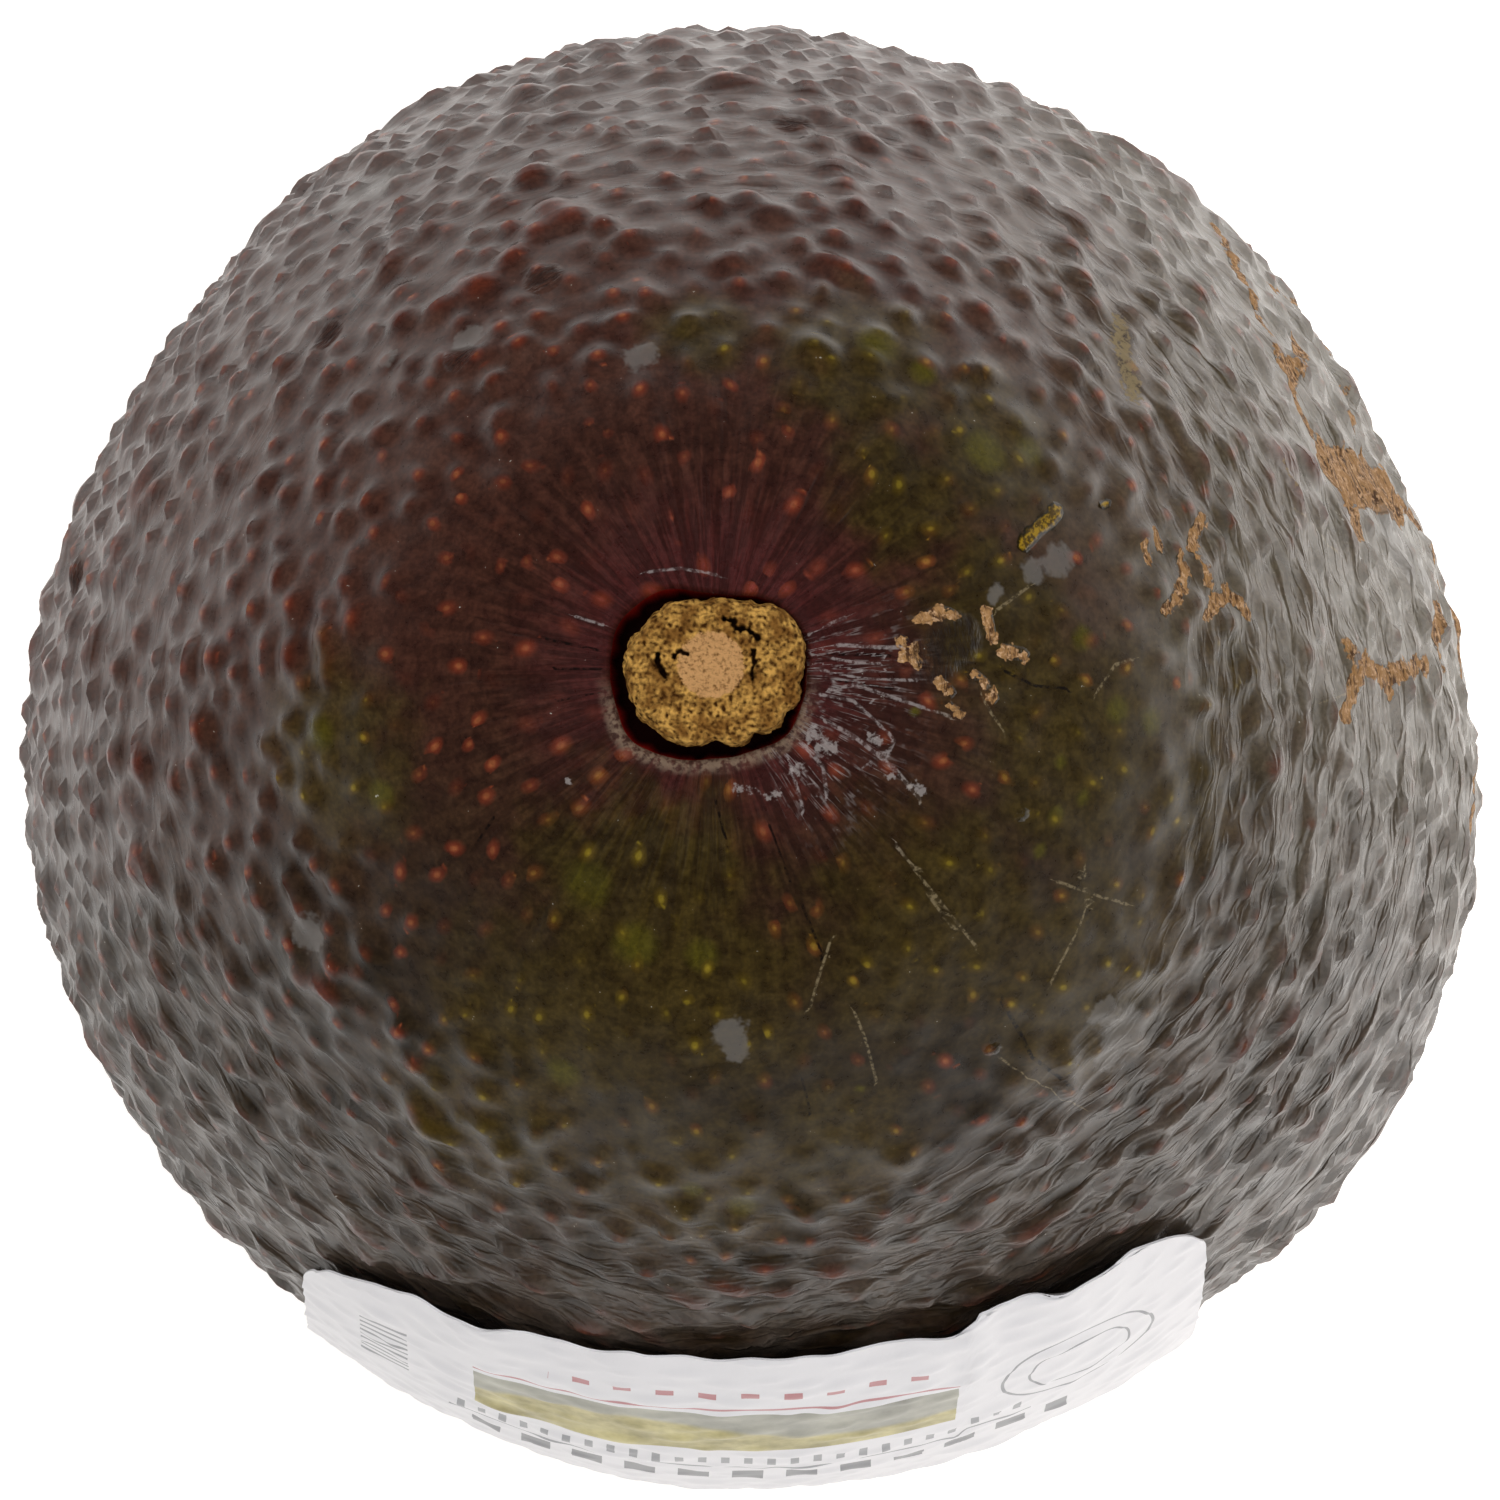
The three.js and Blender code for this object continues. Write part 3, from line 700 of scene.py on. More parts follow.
# Painted sheen: the skin turns paler grey towards the right rim.
painted_rim_sheen = node(nt, "MapRange", [right_place, 0.024, 0.042], **SOFT)
body = node(nt, "MixRGB", [painted_rim_sheen, body, linear("#6b6456")])
brown_green = node(nt, "MixRGB", [mottle, linear("#2d1e14"), linear("#3b2b1a")])
far_green = node(nt, "MixRGB", [mottle, linear("#211910"), linear("#302516")])
brown_green = node(nt, "MixRGB", [outward, brown_green, far_green])
lower_place = node(nt, "Math", [cloud, 0.012, bearing_y], operation="MULTIPLY_ADD")
lower_side = node(nt, "MapRange", [lower_place, 0.012, -0.009], **SOFT)
body = node(nt, "MixRGB", [lower_side, body, brown_green])
maroon_share = node(nt, "MapRange", [stem_distance, 4.2, 11.0, 1.0, 0.0], **SOFT)
maroon_share = node(nt, "Math", [maroon_share, node(nt, "MapRange", [lower_side, 0.0, 1.0, 1.0, 0.85])],
                    operation="MULTIPLY")
body = node(nt, "MixRGB", [maroon_share, body, linear("#451d1c")])
olive_cut = node(nt, "Math", [olive_zone, -0.5], operation="ADD")
olive_place = node(nt, "Math", [patch, olive_cut], operation="ADD")
olive_share = node(nt, "MapRange", [olive_place, 0.22, 0.85], **SOFT)
olive_tone = node(nt, "MixRGB", [mottle, linear("#2e230d"), linear("#423516")])
colour = node(nt, "MixRGB", [olive_share, body, olive_tone])
fresh_cut = node(nt, "Math", [fresh_zone, -0.25], operation="ADD")
fresh_place = node(nt, "Math", [patch, 0.5, fresh_cut], operation="MULTIPLY_ADD")
fresh_share = node(nt, "MapRange", [fresh_place, 0.3, 0.95], **SOFT)
colour = node(nt, "MixRGB", [fresh_share, colour, linear("#4c4512")])
# Painted shade: the streaks are darkened in their grooves, where their bump below is lowest.
streak_groove_shade = node(nt, "MapRange", [ray_noise, 0.62, 0.42], **SOFT)
streak_groove_shade = node(nt, "Math", [streak_groove_shade, streaked], operation="MULTIPLY")
streak_shade_mix = node(nt, "Math", [streak_groove_shade, 0.5], operation="MULTIPLY")
colour = node(nt, "MixRGB", [streak_shade_mix, colour, linear("#150a08")])

# The pebbles' tops are redder, or yellower in the olive. The skin between them is greyer, partly a wax bloom
# that is rubbed off the tops and partly a painted sheen.
top = node(nt, "MapRange", [height, 0.25, 1.0], **SOFT)
top_tone = node(nt, "MixRGB", [olive_share, linear("#572212"), linear("#45360c")])
top_share = node(nt, "Math", [top, 0.75], operation="MULTIPLY")
colour = node(nt, "MixRGB", [top_share, colour, top_tone])
# Paler grey in the valleys between pebbles: partly wax bloom, partly painted sheen.
bloom_and_sheen = node(nt, "Math", [node(nt, "MapRange", [height, 0.9, 0.1], **SOFT), rough_zone], operation="MULTIPLY")
bloom_and_sheen_patch = node(nt, "MapRange", [patch, 0.35, 0.65, 0.0, 0.12], **SOFT)
bloom_and_sheen = node(nt, "Math", [bloom_and_sheen, bloom_and_sheen_patch], operation="MULTIPLY")
colour = node(nt, "MixRGB", [bloom_and_sheen, colour, linear("#7a5f52")])
# Painted highlight: the crests of the creases are lightened towards pale grey.
crest = node(nt, "Math", [crease_crest, crease_share], operation="MULTIPLY")
crest = node(nt, "Math", [crest, 0.5], operation="MULTIPLY")
crest = node(nt, "Math", [fine_crease, 0.6, crest], operation="MULTIPLY_ADD")
crest_highlight_share = node(nt, "Math", [crest, 0.28], operation="MULTIPLY", use_clamp=True)
colour = node(nt, "MixRGB", [crest_highlight_share, colour, linear("#8b8076")])

# A pore at the tip of each pebble: a soft corky dot 0.2 to 0.5 mm across in a redder ring
long_scale = node(nt, "MapRange", [rough_zone, 0.0, 0.8, 1.5, 1.0])
pore_long = node(nt, "Math", [pore_along, long_scale], operation="DIVIDE")
pore_long = node(nt, "Math", [pore_long, 2.0], operation="POWER")
pore_wide = node(nt, "Math", [pore_across, 2.0], operation="POWER")
pore_span = node(nt, "Math", [pore_long, pore_wide], operation="ADD")
pore_span = node(nt, "Math", [pore_span, 0.5], operation="POWER")
pore_span = node(nt, "Math", [pore_span, -0.11], operation="ADD")
pore_span = node(nt, "Math", [tooth, 0.22, pore_span], operation="MULTIPLY_ADD")
pore_strength = node(nt, "MapRange", [chance, 0.15, 0.95, 0.1, 1.0])
near_tip = node(nt, "MapRange", [closeness, 0.4, 0.7], **SOFT)
pore_strength = node(nt, "Math", [pore_strength, near_tip], operation="MULTIPLY")
pore_strength = node(nt, "Math", [pore_strength, node(nt, "MapRange", [crease_share, 0.1, 0.8, 1.0, 0.25])],
                     operation="MULTIPLY")
pore_ring = node(nt, "MapRange", [pore_span, 0.52, 0.1], **SOFT)
pore_ring = node(nt, "Math", [pore_ring, pore_strength], operation="MULTIPLY")
ring_tone = node(nt, "MixRGB", [olive_share, linear("#7d3420"), linear("#5c4a10")])
colour = node(nt, "MixRGB", [node(nt, "Math", [pore_ring, 0.65], operation="MULTIPLY"), colour, ring_tone])
core_size = node(nt, "MapRange", [chance, 0.0, 1.0, 0.02, 0.14])
pore_core = node(nt, "Math", [pore_span, core_size], operation="SUBTRACT")
pore_core = node(nt, "MapRange", [pore_core, 0.08, -0.08], **SOFT)
pore_core = node(nt, "Math", [pore_core, pore_strength], operation="MULTIPLY")
core_tone = node(nt, "MixRGB", [maroon_share, linear("#a0603a"), linear("#7c3632")])
core_tone = node(nt, "MixRGB", [olive_share, core_tone, linear("#9a8526")])
colour = node(nt, "MixRGB", [node(nt, "Math", [pore_core, 0.55], operation="MULTIPLY"), colour, core_tone])

# The rind's own fine grain
grain = node(nt, "MapRange", [tooth, 0.36, 0.64, 0.84, 1.16], **SOFT)
colour = node(nt, "VectorMath", {0: colour, "Scale": grain}, operation="SCALE")

# Healed cork: its edge is broken up by its own grain, and its fibres part in dark gaps
fibre = node(nt, "TexNoise", {
    "Vector": kept["wrap"], "Scale": 1 / FIBRE, "Detail": 2.0, "Roughness": 0.65,
})
edge_noise = node(nt, "TexNoise", {
    "Vector": place, "Scale": 1 / (CORK_EDGE * MM), "Detail": 2.0, "Roughness": 0.7,
})
edge_shift = node(nt, "Math", [edge_noise, 0.9, -0.45], operation="MULTIPLY_ADD")
edge_shift = node(nt, "Math", [edge_shift, 0.28], operation="MINIMUM")
scar_place = node(nt, "Math", [scar_zone, edge_shift], operation="ADD")
scar_share = node(nt, "MapRange", [scar_place, 0.40, 0.47], **SOFT)
fibre_light = node(nt, "MapRange", [fibre, 0.34, 0.56], **SOFT)
cork_tone = node(nt, "MixRGB", [fibre_light, linear("#4f331c"), linear("#a67d50")])
crumb_light = node(nt, "MapRange", [tooth, 0.48, 0.68], **SOFT)
cork_tone = node(nt, "MixRGB", [crumb_light, cork_tone, linear("#c9a27c")])
colour = node(nt, "MixRGB", [scar_share, colour, cork_tone])
cream_cut = node(nt, "Math", [cream_zone, -0.92], operation="ADD")
cream_place = node(nt, "Math", [tooth, 1.1, cream_cut], operation="MULTIPLY_ADD")
cream_share = node(nt, "MapRange", [cream_place, 0.42, 0.62], **SOFT)
cream_mix = node(nt, "Math", [cream_share, 0.6], operation="MULTIPLY")
colour = node(nt, "MixRGB", [cream_mix, colour, linear("#a3926e")])
yellow_place = node(nt, "Math", [edge_shift, 0.5, yellow_zone], operation="MULTIPLY_ADD")
yellow_share = node(nt, "MapRange", [yellow_place, 0.48, 0.56], **SOFT)
yellow_rim = node(nt, "MapRange", [yellow_place, 0.56, 0.68], **SOFT)
yellow_grain = node(nt, "MapRange", [tooth, 0.4, 0.62], **SOFT)
yellow_tone = node(nt, "MixRGB", [yellow_grain, linear("#4a3606"), linear("#9a7a18")])
yellow_tone = node(nt, "MixRGB", [yellow_rim, linear("#1c1503"), yellow_tone])
colour = node(nt, "MixRGB", [yellow_share, colour, yellow_tone])

# Grey where the wax is dull, partly a painted reflection of the lit table, dark where it is rough, and near
# black in the cracks, which is painted shade
dull_wax_and_sheen_place = node(nt, "Math", [dull_wax_and_sheen_zone, edge_shift], operation="ADD")
dull_wax_and_sheen_share = node(nt, "MapRange", [dull_wax_and_sheen_place, 0.4, 0.7], **SOFT)
dull_wax_and_sheen_mix = node(nt, "Math", [dull_wax_and_sheen_share, 0.5], operation="MULTIPLY")
colour = node(nt, "MixRGB", [dull_wax_and_sheen_mix, colour, linear("#7b7773")])
dark_place = node(nt, "Math", [dark_zone, edge_shift], operation="ADD")
dark_share = node(nt, "MapRange", [dark_place, 0.3, 0.95], **SOFT)
dark_grain = node(nt, "MapRange", [fibre, 0.6, 0.4, 0.1, 0.65], **SOFT)
dark_mix = node(nt, "Math", [dark_share, dark_grain], operation="MULTIPLY")
colour = node(nt, "MixRGB", [dark_mix, colour, linear("#1d1311")])
LINE_EDGE = 0.07  # mm over which a thin line fades


def thin_line(line_values):
    """1 on the thin lines kept in an attribute, broken up a little, and 0 off them."""
    sided, apart_from, half_span = node(nt, "SeparateXYZ", [line_values]).node.outputs
    off_line = node(nt, "Math", [sided], operation="ABSOLUTE")
    off_line = node(nt, "Math", [off_line, half_span], operation="SUBTRACT")
    on_line = node(nt, "MapRange", [off_line, LINE_EDGE, 0.0], **SOFT)
    close_by = node(nt, "MapRange", [apart_from, 0.6, 0.35], **SOFT)
    broken = node(nt, "MapRange", [tooth, 0.4, 0.6, 0.1, 1.0], **SOFT)
    on_line = node(nt, "Math", [on_line, close_by], operation="MULTIPLY")
    return node(nt, "Math", [on_line, broken], operation="MULTIPLY")


# Painted shade: near black along the cracks and creases.
crack_share = thin_line(kept["cracks"])
crack_shade_mix = node(nt, "Math", [crack_share, 0.95], operation="MULTIPLY")
colour = node(nt, "MixRGB", [crack_shade_mix, colour, linear("#0e0807")])

# Chalk left by hard water: grains along the streaks right of the stem, and a crust on the lip. Thin pale
# lines along the creases are partly painted sheen, and a fan of pale lines along the streaks right of the
# stem is painted sheen.
chalk_cut = node(nt, "Math", [chalk_zone, -1.0], operation="ADD")
grains = node(nt, "Math", [tooth, 1.2, chalk_cut], operation="MULTIPLY_ADD")
chalk_share = node(nt, "MapRange", [grains, 0.32, 0.6], **SOFT)
chalk_mix = node(nt, "Math", [chalk_share, 0.55], operation="MULTIPLY")
colour = node(nt, "MixRGB", [chalk_mix, colour, linear("#a39c99")])
# Thin pale lines, partly painted sheen along the creases.
thread_share = thin_line(kept["threads"])
thread_and_sheen_mix = node(nt, "Math", [thread_share, 0.48], operation="MULTIPLY")
thread_far = node(nt, "MapRange", [stem_distance, 9.0, 13.0], **SOFT)
thread_and_sheen_tone = node(nt, "MixRGB", [thread_far, linear("#a8a09e"), linear("#9c8c6c")])
colour = node(nt, "MixRGB", [thread_and_sheen_mix, colour, thread_and_sheen_tone])
# Painted sheen: a fan of pale lines along the streaks right of the stem.
fan_x, fan_y, _ = node(nt, "SeparateXYZ", [ray_way]).node.outputs
fan_below = node(nt, "MapRange", [fan_y, 0.5, 0.1], **SOFT)
fan_right = node(nt, "MapRange", [fan_x, 0.35, 0.75], **SOFT)
fan_near = node(nt, "MapRange", [stem_distance, 11.0, 5.5], **SOFT)
fan_sheen = node(nt, "Math", [fan_below, fan_right], operation="MULTIPLY")
fan_sheen = node(nt, "Math", [fan_sheen, fan_near], operation="MULTIPLY")
fan_sheen_line = node(nt, "Math", [ray_noise, -0.52], operation="ADD")
fan_sheen_line = node(nt, "Math", [fan_sheen_line], operation="ABSOLUTE")
fan_sheen_line = node(nt, "MapRange", [fan_sheen_line, 0.05, 0.0], **SOFT)
fan_sheen = node(nt, "Math", [fan_sheen, fan_sheen_line], operation="MULTIPLY")
fan_sheen = node(nt, "Math", [fan_sheen, node(nt, "MapRange", [edge_noise, 0.42, 0.62], **SOFT)], operation="MULTIPLY")
colour = node(nt, "MixRGB", [node(nt, "Math", [fan_sheen, 0.6], operation="MULTIPLY"), colour, linear("#98918f")])
lip = node(nt, "MapRange", [beyond_mouth, 0.85, 0.3], **SOFT)
lip_side = node(nt, "MapRange", [bearing_y, (STEM[1] + 0.3) * MM, (STEM[1] - 2.6) * MM], **SOFT)
lip_share = node(nt, "Math", [lip, lip_side], operation="MULTIPLY")
on_skin_share = node(nt, "Math", [1.0, in_socket], operation="SUBTRACT")
lip_share = node(nt, "Math", [lip_share, on_skin_share], operation="MULTIPLY")
lip_grain = node(nt, "Math", [edge_noise, 0.4], operation="MULTIPLY")
lip_grain = node(nt, "Math", [tooth, 0.6, lip_grain], operation="MULTIPLY_ADD")
lip_grain = node(nt, "MapRange", [lip_grain, 0.42, 0.58, 0.15, 1.0], **SOFT)
lip_share = node(nt, "Math", [lip_share, lip_grain], operation="MULTIPLY")
lip_mix = node(nt, "Math", [lip_share, 0.85], operation="MULTIPLY")
colour = node(nt, "MixRGB", [lip_mix, colour, linear("#7d6a59")])

# The socket's wall is raw flesh gone red-brown, with painted shade darkening it as it goes down
wall_depth_shade = node(nt, "MapRange", [wall_down, 0.1, 0.9], **SOFT)
wall_tone_and_shade = node(nt, "MixRGB", [wall_depth_shade, linear("#8a1510"), linear("#1c0606")])
colour = node(nt, "MixRGB", [in_socket, colour, wall_tone_and_shade])

# Pale specks a tenth of a millimetre across, on the peaks of the finest grain: partly dust, partly painted
# glints
dust_and_glints = node(nt, "Math", [speckle, 0.5, tooth], operation="MULTIPLY_ADD")
dust_and_glints = node(nt, "MapRange", [dust_and_glints, 1.05, 1.1])
dust_and_glints = node(nt, "Math", [dust_and_glints, on_skin_share], operation="MULTIPLY")
dust_and_glint_mix = node(nt, "Math", [dust_and_glints, 0.7], operation="MULTIPLY")
colour = node(nt, "MixRGB", [dust_and_glint_mix, colour, linear("#b8b4aa")])
nt.links.new(colour, shader.inputs["Base Color"])

dry = node(nt, "Math", [scar_share, cream_share], operation="MAXIMUM")
dry = node(nt, "Math", [dry, dark_share], operation="MAXIMUM")
dry = node(nt, "Math", [dry, lip_share], operation="MAXIMUM")
dry = node(nt, "Math", [dry, in_socket], operation="MAXIMUM")
wax = node(nt, "Math", [speckle, 0.2, 0.2], operation="MULTIPLY_ADD")
nt.links.new(node(nt, "Mix", {"Factor": dry, "A": wax, "B": 0.85}), shader.inputs["Roughness"])
shader.inputs["IOR"].default_value = 1.45

# The wax is thinner, and so less glossy, on the ripest side and towards the label
gloss = node(nt, "MapRange", [right_place, -0.012, 0.02, 0.26, 0.44], **SOFT)
gloss_below = node(nt, "MapRange", [lower_place, 0.0, -0.026, 1.0, 0.65], **SOFT)
gloss_below = node(nt, "Math", [gloss_below, right_side], operation="MAXIMUM")
gloss = node(nt, "Math", [gloss, gloss_below], operation="MULTIPLY")
nt.links.new(gloss, shader.inputs["Specular IOR Level"])

# Relief finer than the mesh, in mm: the wax's orange peel, creases, streaks, and the grain of cork
fine_height = node(nt, "Math", [fine_crease, 0.15], operation="MULTIPLY")
fine_height = node(nt, "Math", [patch, 0.05, fine_height], operation="MULTIPLY_ADD")
streak_height = node(nt, "Math", [ray_noise, streaked], operation="MULTIPLY")
fine_height = node(nt, "Math", [streak_height, 0.14, fine_height], operation="MULTIPLY_ADD")
cork_relief = node(nt, "MapRange", [scar_zone, 0.4, 0.5, 0.0, 0.16], **SOFT)
fine_height = node(nt, "Math", [fibre, cork_relief, fine_height], operation="MULTIPLY_ADD")
dark_relief = node(nt, "MapRange", [dark_zone, 0.3, 0.8, 0.0, 0.3], **SOFT)
fine_height = node(nt, "Math", [fibre, dark_relief, fine_height], operation="MULTIPLY_ADD")
yellow_relief = node(nt, "MapRange", [yellow_zone, 0.5, 0.7, 0.0, 0.12], **SOFT)
fine_height = node(nt, "Math", [fine_height, yellow_relief], operation="ADD")
bump = node(nt, "Bump", {"Strength": 1.0, "Distance": MM, "Height": fine_height})
nt.links.new(bump, shader.inputs["Normal"])

fruit.data.materials.append(rind)
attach(fruit, "root")
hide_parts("fruit")

# The stem button: the stub of stem that stays in its socket when the fruit is clipped, dried to crumbly cork
# with the paler woody middle standing up in it. It sits loose in the socket, with a gap all round.
BUTTON_HEIGHT = 3.3
BUTTON_SEGMENTS, BUTTON_RINGS = 320, 150
GRAIN_SIZE, GRAIN_HEIGHT = 0.17, 0.13
BUTTON_PROFILE = [  # share of the radius, and height in mm, from the middle of the top to that of the base
    (0, 3.32), (0.17, 3.34), (0.34, 3.30), (0.48, 3.18), (0.62, 3.12), (0.78, 3.26), (0.90, 3.22),
    (0.975, 3.0), (1.0, 2.6), (0.95, 1.6), (0.90, 0.5), (0.80, 0.12), (0.45, 0.0), (0, 0.0),
]
BUTTON_CRACKS = [  # half width and depth in mm, then x and y in mm from the button's middle
    (0.10, 0.5, (-2.55, 0.75), (-2.5, 0.3), (-2.25, -0.15)),
    (0.10, 0.5, (0.45, 2.35), (0.8, 2.3), (1.05, 1.95), (1.6, 1.85), (1.95, 1.5)),
    (0.08, 0.35, (1.75, 0.95), (1.8, 0.4), (1.7, -0.3)),
    (0.07, 0.3, (-1.9, 0.6), (-1.5, 0.95), (-1.2, 0.75)),
]
CENTRE_DISC = (-0.15, 0.3, 1.55)  # x, y and radius in mm of the smoother woody middle
EDGE_NOTCHES = [  # bearing and half width in degrees, share of the radius
    (-88, 7, 0.09),
    (-62, 5, 0.05),
    (-35, 6, 0.06),
    (62, 4, 0.06),
    (-8, 5, 0.04),
    (140, 24, 0.07),
    (-48, 20, 0.06),
    (-138, 20, 0.06),
    (45, 14, -0.03),
]

profile = np.array(BUTTON_PROFILE)
profile_run = np.concatenate([[0], np.cumsum(np.linalg.norm(np.diff(profile * [4, 1], axis=0), axis=1))])
bpy.ops.object.select_all(action="DESELECT")
bpy.ops.mesh.primitive_uv_sphere_add(segments=BUTTON_SEGMENTS, ring_count=BUTTON_RINGS, radius=1)
button = bpy.context.object
button.name = "corky_stem_button"
button_ball = np.empty(len(button.data.vertices) * 3)
button.data.vertices.foreach_get("co", button_ball)
button_ball = button_ball.reshape(-1, 3)
run_share = np.arccos(np.clip(button_ball[:, 2], -1, 1)) / np.pi
on_top = 0.68  # share of the rings that the top and rolled edge get
run = np.interp(run_share, [0, on_top, 1], [0, profile_run[8], profile_run[-1]])
share = np.interp(run, profile_run, profile[:, 0])
level = np.interp(run, profile_run, profile[:, 1])
button_bearing = np.arctan2(button_ball[:, 1], button_ball[:, 0])
reach = button_outline(button_bearing)
for notch, notch_width, notch_share in EDGE_NOTCHES:
    turn = np.angle(np.exp(1j * (button_bearing - math.radians(notch))))
    reach = reach - notch_share * np.exp(-((turn / math.radians(notch_width)) ** 2)) * share**4
flake_place = np.stack([np.cos(button_bearing) * 6, np.sin(button_bearing) * 6, level], axis=1)
flakes = np.array([noise.noise(Vector(p)) for p in flake_place])
reach = reach * (1 + 0.035 * flakes * share**2)
cork = np.stack([
    BUTTON_WIDTH / 2 * share * reach * np.cos(button_bearing),
    BUTTON_DEPTH / 2 * share * reach * np.sin(button_bearing),
    level,
], axis=1)

middle_apart = np.hypot(cork[:, 0] - CENTRE_DISC[0], cork[:, 1] - CENTRE_DISC[1])
disc = 1 - smooth_step(middle_apart, CENTRE_DISC[2] - 0.3, CENTRE_DISC[2] + 0.25)
top = smooth_step(level, 2.2, 2.9)
crumbs = np.array([noise.noise(Vector(p) / GRAIN_SIZE) for p in cork])
clumps = np.array([noise.noise(Vector(p) / (GRAIN_SIZE * 3.2) + Vector((9, 9, 9))) for p in cork])
slow = np.array([noise.noise(Vector(p) / 1.9 + Vector((3, 5, 7))) for p in cork])
crumble = (GRAIN_HEIGHT * crumbs + 0.16 * clumps) * (1 - 0.72 * disc) + 0.22 * slow
split = np.zeros(len(cork))
for half_width, crack_depth, *way in BUTTON_CRACKS:
    for start, end in zip(np.array(way[:-1]), np.array(way[1:])):
        line = end - start
        part = np.clip((cork[:, :2] - start) @ line / (line @ line), 0, 1)
        apart_mm = np.linalg.norm(cork[:, :2] - start - part[:, None] * line, axis=1)
        apart_mm = apart_mm + 0.12 * crumbs
        open_share = 1 - smooth_step(apart_mm, 0.3 * half_width, 1.6 * half_width)
        split = np.maximum(split, crack_depth * open_share)
side_way = np.stack([np.cos(button_bearing), np.sin(button_bearing), np.zeros(len(cork))], axis=1)
cork[:, 2] += top * (crumble - split)
cork += side_way * ((1 - top) * np.clip(crumble, -0.2, 0.12) * smooth_step(level, 0.05, 0.6))[:, None]
cork[:, 2] = np.minimum(cork[:, 2], BUTTON_HEIGHT + 0.06)
cork[:, :2] += button_middle[:2]
cork[:, 2] += button_box[0][2]
button.data.vertices.foreach_set("co", (cork * MM).ravel())
button.data.update()
keep_values(button, "cork", crumbs, np.clip(split * 4, 0, 1), disc * top)
bpy.ops.object.shade_smooth()

# Dried stem cork: crumbly and matte, ochre on its crumbs and dark brown between them, paler in the middle.
cork_crust = bpy.data.materials.new("dried_stem_cork")
cork_crust.use_nodes = True
ct = cork_crust.node_tree
cork_shader = ct.nodes["Principled BSDF"]
cork_place = node(ct, "TexCoord", out=3)
cork_values = node(ct, "Attribute", attribute_name="cork", out=1)
crumb, split_share, disc_share = node(ct, "SeparateXYZ", [cork_values]).node.outputs
crumb_noise = node(ct, "TexNoise", {
    "Vector": cork_place, "Scale": 1 / (0.2 * MM), "Detail": 4.0, "Roughness": 0.75,
})
patch_noise = node(ct, "TexNoise", {"Vector": cork_place, "Scale": 1 / (0.7 * MM), "Detail": 3.0})
crumb_height = node(ct, "Math", [crumb, 0.5, crumb_noise], operation="MULTIPLY_ADD")
ochre_share = node(ct, "MapRange", [patch_noise, 0.35, 0.65], **SOFT)
ochre = node(ct, "MixRGB", [ochre_share, linear("#8c612c"), linear("#dcaa58")])
crust_share = node(ct, "MapRange", [crumb_height, 0.2, 0.66])
crust = node(ct, "MixRGB", [crust_share, linear("#43260c"), ochre])
pale_share = node(ct, "MapRange", [crumb_noise, 0.3, 0.55], **SOFT)
pale = node(ct, "MixRGB", [pale_share, linear("#7f5830"), linear("#cf9e68")])
disc_edge = node(ct, "Math", [crumb_noise, 1.4, disc_share], operation="MULTIPLY_ADD")
disc_edge = node(ct, "MapRange", [disc_edge, 1.1, 1.45], **SOFT)
crust = node(ct, "MixRGB", [disc_edge, crust, pale])
# Painted shade: near black in the button's cracks.
crust = node(ct, "MixRGB", [split_share, crust, linear("#241307")])
ct.links.new(crust, cork_shader.inputs["Base Color"])
cork_shader.inputs["Roughness"].default_value = 0.9
cork_shader.inputs["Specular IOR Level"].default_value = 0.2
crumb_bump = node(ct, "Bump", {"Strength": 1.0, "Distance": 0.16 * MM, "Height": crumb_noise})
ct.links.new(crumb_bump, cork_shader.inputs["Normal"])
button.data.materials.append(cork_crust)
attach(button, "root")
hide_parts("stem_button")

# The label: one sheet of coated paper stuck to the pebbles' tips across the front of the shoulder. Flat paper
# doesn't fit a round shoulder, so its upper edge waves and lifts, and a fold takes up the slack on the right.
LABEL_WIDTH, LABEL_HEIGHT, LABEL_CORNER = 47.0, 36.0, 4.5
LABEL_DOWN, LABEL_TURN = 59.6, math.radians(-2)
LABEL_DROOP_LEFT, LABEL_DROOP_RIGHT, LABEL_DROOP_END = 0.036, 0.021, 84.0
FOLD_AT, FOLD_RISE, FOLD_WIDTH, FOLD_RIDGE = 10.8, 1.9, 0.8, 0.35
PAPER = 0.12
PAPER_LIFT = 0.72
EDGE_LIFTS = [(15.5, 3.2, 0.75), (1.5, 3.0, 0.35), (-13.0, 2.5, 0.45), (8.5, 1.6, 0.4), (-5.5, 2.0, 0.25)]
LABEL_COLUMNS, LABEL_ROWS = 220, 150

bpy.ops.object.select_all(action="DESELECT")
bpy.ops.mesh.primitive_grid_add(x_subdivisions=LABEL_COLUMNS, y_subdivisions=LABEL_ROWS, size=2)
label = bpy.context.object
label.name = "paper_label"
sheet = np.empty(len(label.data.vertices) * 3)
label.data.vertices.foreach_get("co", sheet)
sheet = sheet.reshape(-1, 3)
up = sheet[:, 1] * LABEL_HEIGHT / 2
into_corner = np.maximum(0, np.abs(up) - (LABEL_HEIGHT / 2 - LABEL_CORNER))
half_width = LABEL_WIDTH / 2 - LABEL_CORNER + np.sqrt(LABEL_CORNER**2 - into_corner**2)
side = sheet[:, 0] * half_width
near_top = smooth_step(up, 0, LABEL_HEIGHT / 2)
rise = FOLD_RISE * (0.5 + up / LABEL_HEIGHT) * smooth_step(side, FOLD_AT - FOLD_WIDTH, FOLD_AT)
edge_wave = 0.22 * np.sin(side * 1.05 + 0.5) + 0.12 * np.sin(side * 2.3 + 2)
lifted_up = up + rise + edge_wave * near_top**2
turned_side = side * math.cos(LABEL_TURN) - lifted_up * math.sin(LABEL_TURN)
turned_up = side * math.sin(LABEL_TURN) + lifted_up * math.cos(LABEL_TURN)
straight = LABEL_DOWN - turned_up
